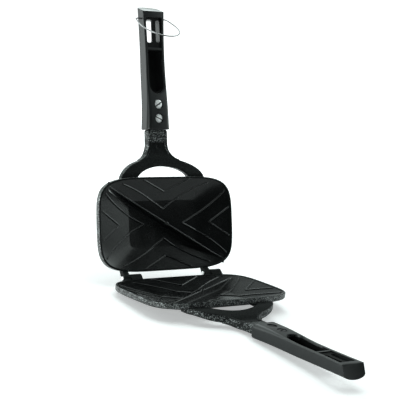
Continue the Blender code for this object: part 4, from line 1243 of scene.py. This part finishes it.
class TOASTER_OT_trays(ToasterOperator, Operator):
    """Build both dished trays with their rims, linings and undersides"""

    bl_idname = "toaster.trays"
    bl_label = "Cooking Trays"

    def execute(self, context):
        materials = finishes()
        coats = [materials[name] for name in ("smooth_coating", "speckled_coating", "nonstick_lining")]
        for half in HANDS:
            shell = tray_shell(half, context.scene.toaster_tray)
            settle(shell, half, half, [half + "_tray"], coats, 30.0)
        return {"FINISHED"}


class TOASTER_OT_ribs(ToasterOperator, Operator):
    """Raise the chevrons and the slanting divider in both pockets"""

    bl_idname = "toaster.ribs"
    bl_label = "Chevrons and Divider"

    def execute(self, context):
        tray = context.scene.toaster_tray
        materials = finishes()
        polished = materials["polished_ridge_lining"]
        tree = sweep_tree("Sweep Chevrons", upright=True)
        middle = tray_middle(tray)
        crest = divider_crest(tray)
        middle_share = 0.12  # how high a chevron's oval section lies over the lining, as a share of its height
        r, dome_rise = tray.post_radius, 0.0006
        post_profile = [(r * 1.3, -tray.pocket_depth - 0.001), (r, crest - 0.001)]
        for t in np.linspace(0, 1.5, 8):
            post_profile.append((r * math.cos(t), crest + dome_rise + dome_rise * math.sin(t)))
        for half, hand in HANDS.items():
            name = half + "_tray"
            paths = []
            for flat in chevron_paths(tray):
                height = pocket_height(tray, flat[:, 0], flat[:, 1]) + tray.rib_height * middle_share
                paths.append(np.column_stack([flat[:, 0], flat[:, 1] + middle, height]))
            ribs = paths_object(name + "_chevrons", paths, ease=0.003)
            run_tree(ribs, tree, {
                "Section Width": tray.rib_width,
                "Section Height": tray.rib_height * 2 * (1 - middle_share),
                "Section Points": 16,
                "Finish": polished,
            })
            settle(ribs, half, half, [name], [], 60.0)
            divider = lofted(name + "_divider", divider_rows(tray, hand))
            for face in divider.data.polygons:
                face.material_index = int(face.center.z > crest - 0.0006)
            flank = materials["nonstick_lining" if half == "lid" else "shaded_flank_lining"]
            settle(divider, half, half, [name], [flank, polished], 70.0)
            post = turned(name + "_post", post_profile, (0, middle))
            settle(post, half, half, [name], [polished], 50.0)
        return {"FINISHED"}


class TOASTER_OT_brackets(ToasterOperator, Operator):
    """Cast the arch, the neck with its collar, the hinge lugs and the pips of both halves"""

    bl_idname = "toaster.brackets"
    bl_label = "Brackets and Lugs"

    def execute(self, context):
        tray, bracket, _ = self.settings
        materials = finishes()
        coats = [materials["smooth_coating"], materials["bracket_coating"]]
        start = handle_start(tray, bracket)
        for half, hand in HANDS.items():
            nodes = [half + "_tray"]
            arch = lofted(half + "_arch", arch_rows(tray, bracket))
            mark_sides(arch.data)
            settle(arch, half, half, nodes, coats, 50.0)
            neck = lofted(half + "_neck", neck_rows(tray, bracket))
            mark_sides(neck.data)
            for polygon in neck.data.polygons:
                if polygon.center.y > start - COLLAR_LENGTH + 0.0002:
                    polygon.material_index = ROUGH
            settle(neck, half, half, nodes, coats, 50.0)
            tang = block(
                half + "_tang", (-TANG_HALF_WIDTH, TANG_HALF_WIDTH), (start - 0.0013, start + TANG_REACH),
                (TANG_LOW, TANG_TOP),
            )
            settle(tang, half, half, nodes, coats, 30.0)
            for order, span in enumerate(lug_spans(tray, hand), 1):
                lug = hinge_lug(f"{half}_lug_{order}", tray, span, heel=hand > 0)
                settle(lug, half, half, nodes, coats, None, outward=False)
            inset, spread = 0.006, 0.006
            for side in (-1, 1):
                for step in (-1, 1):
                    place = (side * (tray.half_width - inset), tray_middle(tray) + step * spread)
                    pip = turned(f"{half}_pip_{side + 2}{step + 2}", pip_profile(tray), place, 32)
                    settle(pip, half, half, nodes, coats, 40.0)
        return {"FINISHED"}


class TOASTER_OT_handles(ToasterOperator, Operator):
    """Mould both handles with their recess, window, bar and screw seats"""

    bl_idname = "toaster.handles"
    bl_label = "Moulded Handles"

    def execute(self, context):
        tray, bracket, handle = self.settings
        finishes()
        for half, hand in HANDS.items():
            grip = handle_body(half, tray, bracket, handle, with_loop=hand > 0)
            settle(grip, half, half, [half + "_handle"], [], None, outward=False)
        return {"FINISHED"}


class TOASTER_OT_fasteners(ToasterOperator, Operator):
    """Repeat the slotted screws in the handles and the headed pins in the hinges"""

    bl_idname = "toaster.fasteners"
    bl_label = "Screws and Pins"

    def execute(self, context):
        tray, bracket, handle = self.settings
        materials = finishes()
        tree = repeat_tree("Repeat Fasteners")
        screw = screw_template(handle)
        places = [(0.0, y, 0.0) for y in screw_places(tray, bracket)]
        turns = [(0.0, 0.0, math.radians(-25)), (0.0, 0.0, math.radians(30))]
        for half in HANDS:
            # The base's screws get steel painted dark, as painted shade.
            steel = materials["dulled_screw_steel" if half == "base" else "slotted_screw_steel"]
            screws = points_object(half + "_screws", places, turns)
            run_tree(screws, tree, {"Fastener": screw, "Scale": 1.0, "Finish": steel})
            # The slots' floors and walls get steel painted dark, as painted shade.
            paint_slot_shade(screws.data, handle, places, materials["screw_slot_grime"])
            nodes = [half + "_handle_screw_inner", half + "_handle_screw_outer"]
            settle(screws, half, half, nodes, [steel], 32.0)
        steel = materials["slotted_screw_steel"]
        pin = pin_template()
        hinge, tail = tray.half_width - tray.lug_inset, 0.01935  # from a hinge's middle back to its pin's tail
        pins = points_object("hinge_pins", [(side * hinge - tail, 0.0, 0.0) for side in (-1, 1)], [(0.0, 0.0, 0.0)] * 2)
        run_tree(pins, tree, {"Fastener": pin, "Scale": 1.0, "Finish": steel})
        settle(pins, "base", "base", ["hinge_pin_left", "hinge_pin_right"], [steel], 32.0)
        for template in (screw, pin):
            bpy.data.objects.remove(template)
        return {"FINISHED"}


class TOASTER_OT_loop(ToasterOperator, Operator):
    """Bend the wire hanging loop in the end of the lid's handle"""

    bl_idname = "toaster.loop"
    bl_label = "Hanging Loop"

    def execute(self, context):
        tray, bracket, handle = self.settings
        loop = context.scene.toaster_loop
        steel = finishes()["polished_wire_steel"]
        wall = float(handle_half_width(handle, 1 - PIVOT_SETBACK / handle.length))
        wire = paths_object("wire_hanging_loop", [loop_path(loop, wall)])
        run_tree(wire, sweep_tree("Sweep Wire", upright=False), {
            "Section Width": loop.wire,
            "Section Height": loop.wire,
            "Section Points": 20,
            "Finish": steel,
        })
        pivot = Matrix.Translation((0, handle_start(tray, bracket) + handle.length - PIVOT_SETBACK, -PIVOT_DROP))
        wire.data.transform(pivot @ Matrix.Rotation(loop.pitch, 4, "X"))
        settle(wire, "lid", "loop", ["hanging_loop"], [steel], 40.0)
        return {"FINISHED"}


class TOASTER_OT_stage(ToasterOperator, Operator):
    """Set the plain floor, the soft lamps, the pale world and the camera"""

    bl_idname = "toaster.stage"
    bl_label = "Studio Stage"

    def execute(self, context):
        scene = context.scene
        scene.view_settings.view_transform = "Standard"
        self.lay_floor(scene)
        self.light_world(scene)
        self.hang_lamps(scene)
        self.set_camera(scene)
        return {"FINISHED"}

    def lay_floor(self, scene):
        """A plain floor that looks white to the camera away from the toaster, and in its reflections behind it."""
        mesh = bpy.data.meshes.new("studio_floor")
        reach, front = 8.0, -0.46
        corners = [(-reach, front, 0), (reach, front, 0), (reach, reach, 0), (-reach, reach, 0)]
        mesh.from_pydata(corners, [], [(0, 1, 2, 3)])
        floor = add_object("studio_floor", mesh)
        kit = FinishKit("studio_floor_paper")
        rays = kit.node("ShaderNodeLightPath").outputs
        away = kit.node("ShaderNodeVectorMath", {0: kit.place}, operation="LENGTH").outputs["Value"]
        place = kit.node("ShaderNodeSeparateXYZ", {"Vector": kit.place}).outputs
        behind = kit.math("MULTIPLY_ADD", place["X"], -1.2, place["Y"])
        whitening = kit.range(away, scene.toaster_studio.floor_glow, 1.0, 0.40, 1.2)
        seen = kit.math("MULTIPLY", rays["Is Camera Ray"], whitening)
        mirrored = kit.math("MULTIPLY", rays["Is Glossy Ray"], kit.range(behind, 0.0, 1.0, 0.02, 0.40))
        kit.set(
            Base_Color=kit.mottled(kit.noise(60.0, 3.0), tuple(scene.toaster_finish.floor), 0.995, 1.005),
            Roughness=0.9,
            Specular_IOR_Level=0.1,
            Emission_Color=(0.98, 1.0, 1.0, 1.0),
            Emission_Strength=kit.math("ADD", seen, mirrored),
        )
        mesh.materials.append(kit.material)

    def light_world(self, scene):
        """A pale sweep behind the toaster that darkens upwards and towards the camera's side of the studio."""
        studio = scene.toaster_studio
        world = bpy.data.worlds.new("studio_world")
        scene.world = world
        world.use_nodes = True
        kit = NodeKit(world.node_tree)
        rays = kit.node("ShaderNodeLightPath").outputs
        generated = kit.node("ShaderNodeTexCoord").outputs["Generated"]
        direction = kit.node("ShaderNodeSeparateXYZ", {"Vector": generated}).outputs
        sweep = kit.range(
            direction["Y"], studio.front_level, studio.back_level, -0.55, 0.45, interpolation_type="SMOOTHSTEP"
        )
        fall = kit.range(direction["Z"], 1.0, studio.high_share, 0.06, 0.30)
        level = kit.math("MULTIPLY", sweep, fall)
        seen = kit.math("MAXIMUM", rays["Is Camera Ray"], rays["Is Transmission Ray"])
        background = world.node_tree.nodes["Background"].inputs
        kit.feed(background["Strength"], kit.node("ShaderNodeMix", {0: seen, 2: level, 3: 1.0}).outputs[0])
        kit.feed(background["Color"], kit.mix(seen, studio.tint, (1.0, 1.0, 1.0)))

    def hang_lamps(self, scene):
        """Soft square lamps, all aimed at the toaster's middle but for the small one at the lid handle's end."""
        studio = scene.toaster_studio
        middle, handle_end = Vector((0.0, 0.02, 0.14)), Vector((0.0, 0.25, 0.365))
        for name, place, target, size, watts in (
            ("overhead_softbox", (-0.1, 1.15, 1.75), middle, 2.0, studio.overhead_power),
            ("top_softbox", (0.15, 0.10, 2.00), middle, 1.5, studio.top_power),
            ("right_softbox", (1.72, -0.36, 0.80), middle, 1.0, studio.right_power),
            ("left_softbox", (-1.30, 1.35, 0.50), middle, 1.0, studio.left_power),
            ("back_softbox", (0.25, 0.54, 0.465), handle_end, 0.22, studio.back_power),
            ("low_softbox", (-1.75, -1.00, 0.28), middle, 0.8, studio.low_power),
        ):
            lamp = bpy.data.lights.new(name, "AREA")
            lamp.shape = "SQUARE"
            lamp.size = size
            lamp.energy = watts
            lamp.color = studio.tint
            made = add_object(name, lamp)
            made.location = place
            made.visible_camera = target is middle
            made.rotation_euler = (target - made.location).to_track_quat("-Z", "Y").to_euler()

    def set_camera(self, scene):
        """A camera at the photograph's angle, placed from the hinge."""
        studio = scene.toaster_studio
        a, e, roll = studio.azimuth, studio.elevation, studio.roll
        forward = Vector((math.sin(a) * math.cos(e), math.cos(a) * math.cos(e), -math.sin(e)))
        level = Vector((math.cos(a), -math.sin(a), 0.0))
        above = level.cross(forward)
        right = math.cos(roll) * level + math.sin(roll) * above
        up = -math.sin(roll) * level + math.cos(roll) * above
        place = -(studio.shift_across * right + studio.shift_up * up + studio.distance * forward)
        turn = Matrix((right, up, -forward)).transposed().to_4x4()
        data = bpy.data.cameras.new("photo_camera")
        data.sensor_width = 36.0
        data.lens = studio.lens
        data.clip_start, data.clip_end = 0.05, 60.0
        camera = add_object("photo_camera", data)
        camera.matrix_world = STAND @ Matrix.Translation(place) @ turn
        scene.camera = camera


class TOASTER_PT_panel(Panel):
    """Lists the toaster's pieces and their sizes"""

    bl_idname = "TOASTER_PT_panel"
    bl_label = "Sandwich Toaster"
    bl_space_type = "VIEW_3D"
    bl_region_type = "UI"
    bl_category = "Toaster"

    def draw(self, context):
        layout = self.layout
        for operator in OPERATORS:
            layout.operator(operator.bl_idname)
        for key in GROUPS:
            box = layout.box()
            box.label(text=key.split("_")[1].title())
            settings = getattr(context.scene, key)
            for prop in settings.bl_rna.properties:
                if prop.identifier not in {"rna_type", "name"}:
                    box.prop(settings, prop.identifier)


OPERATORS = (
    TOASTER_OT_trays,
    TOASTER_OT_ribs,
    TOASTER_OT_brackets,
    TOASTER_OT_handles,
    TOASTER_OT_fasteners,
    TOASTER_OT_loop,
    TOASTER_OT_stage,
)


def register():
    for group in GROUPS.values():
        bpy.utils.register_class(group)
    for key, group in GROUPS.items():
        setattr(bpy.types.Scene, key, PointerProperty(type=group))
    for operator in OPERATORS:
        bpy.utils.register_class(operator)
    bpy.utils.register_class(TOASTER_PT_panel)


def unregister():
    bpy.utils.unregister_class(TOASTER_PT_panel)
    for operator in reversed(OPERATORS):
        bpy.utils.unregister_class(operator)
    for key in GROUPS:
        delattr(bpy.types.Scene, key)
    for group in reversed(list(GROUPS.values())):
        bpy.utils.unregister_class(group)


def main():
    register()
    bpy.ops.toaster.trays()
    bpy.ops.toaster.ribs()
    bpy.ops.toaster.brackets()
    bpy.ops.toaster.handles()
    bpy.ops.toaster.fasteners()
    bpy.ops.toaster.loop()
    bpy.ops.toaster.stage()


if __name__ == "__main__":
    main()
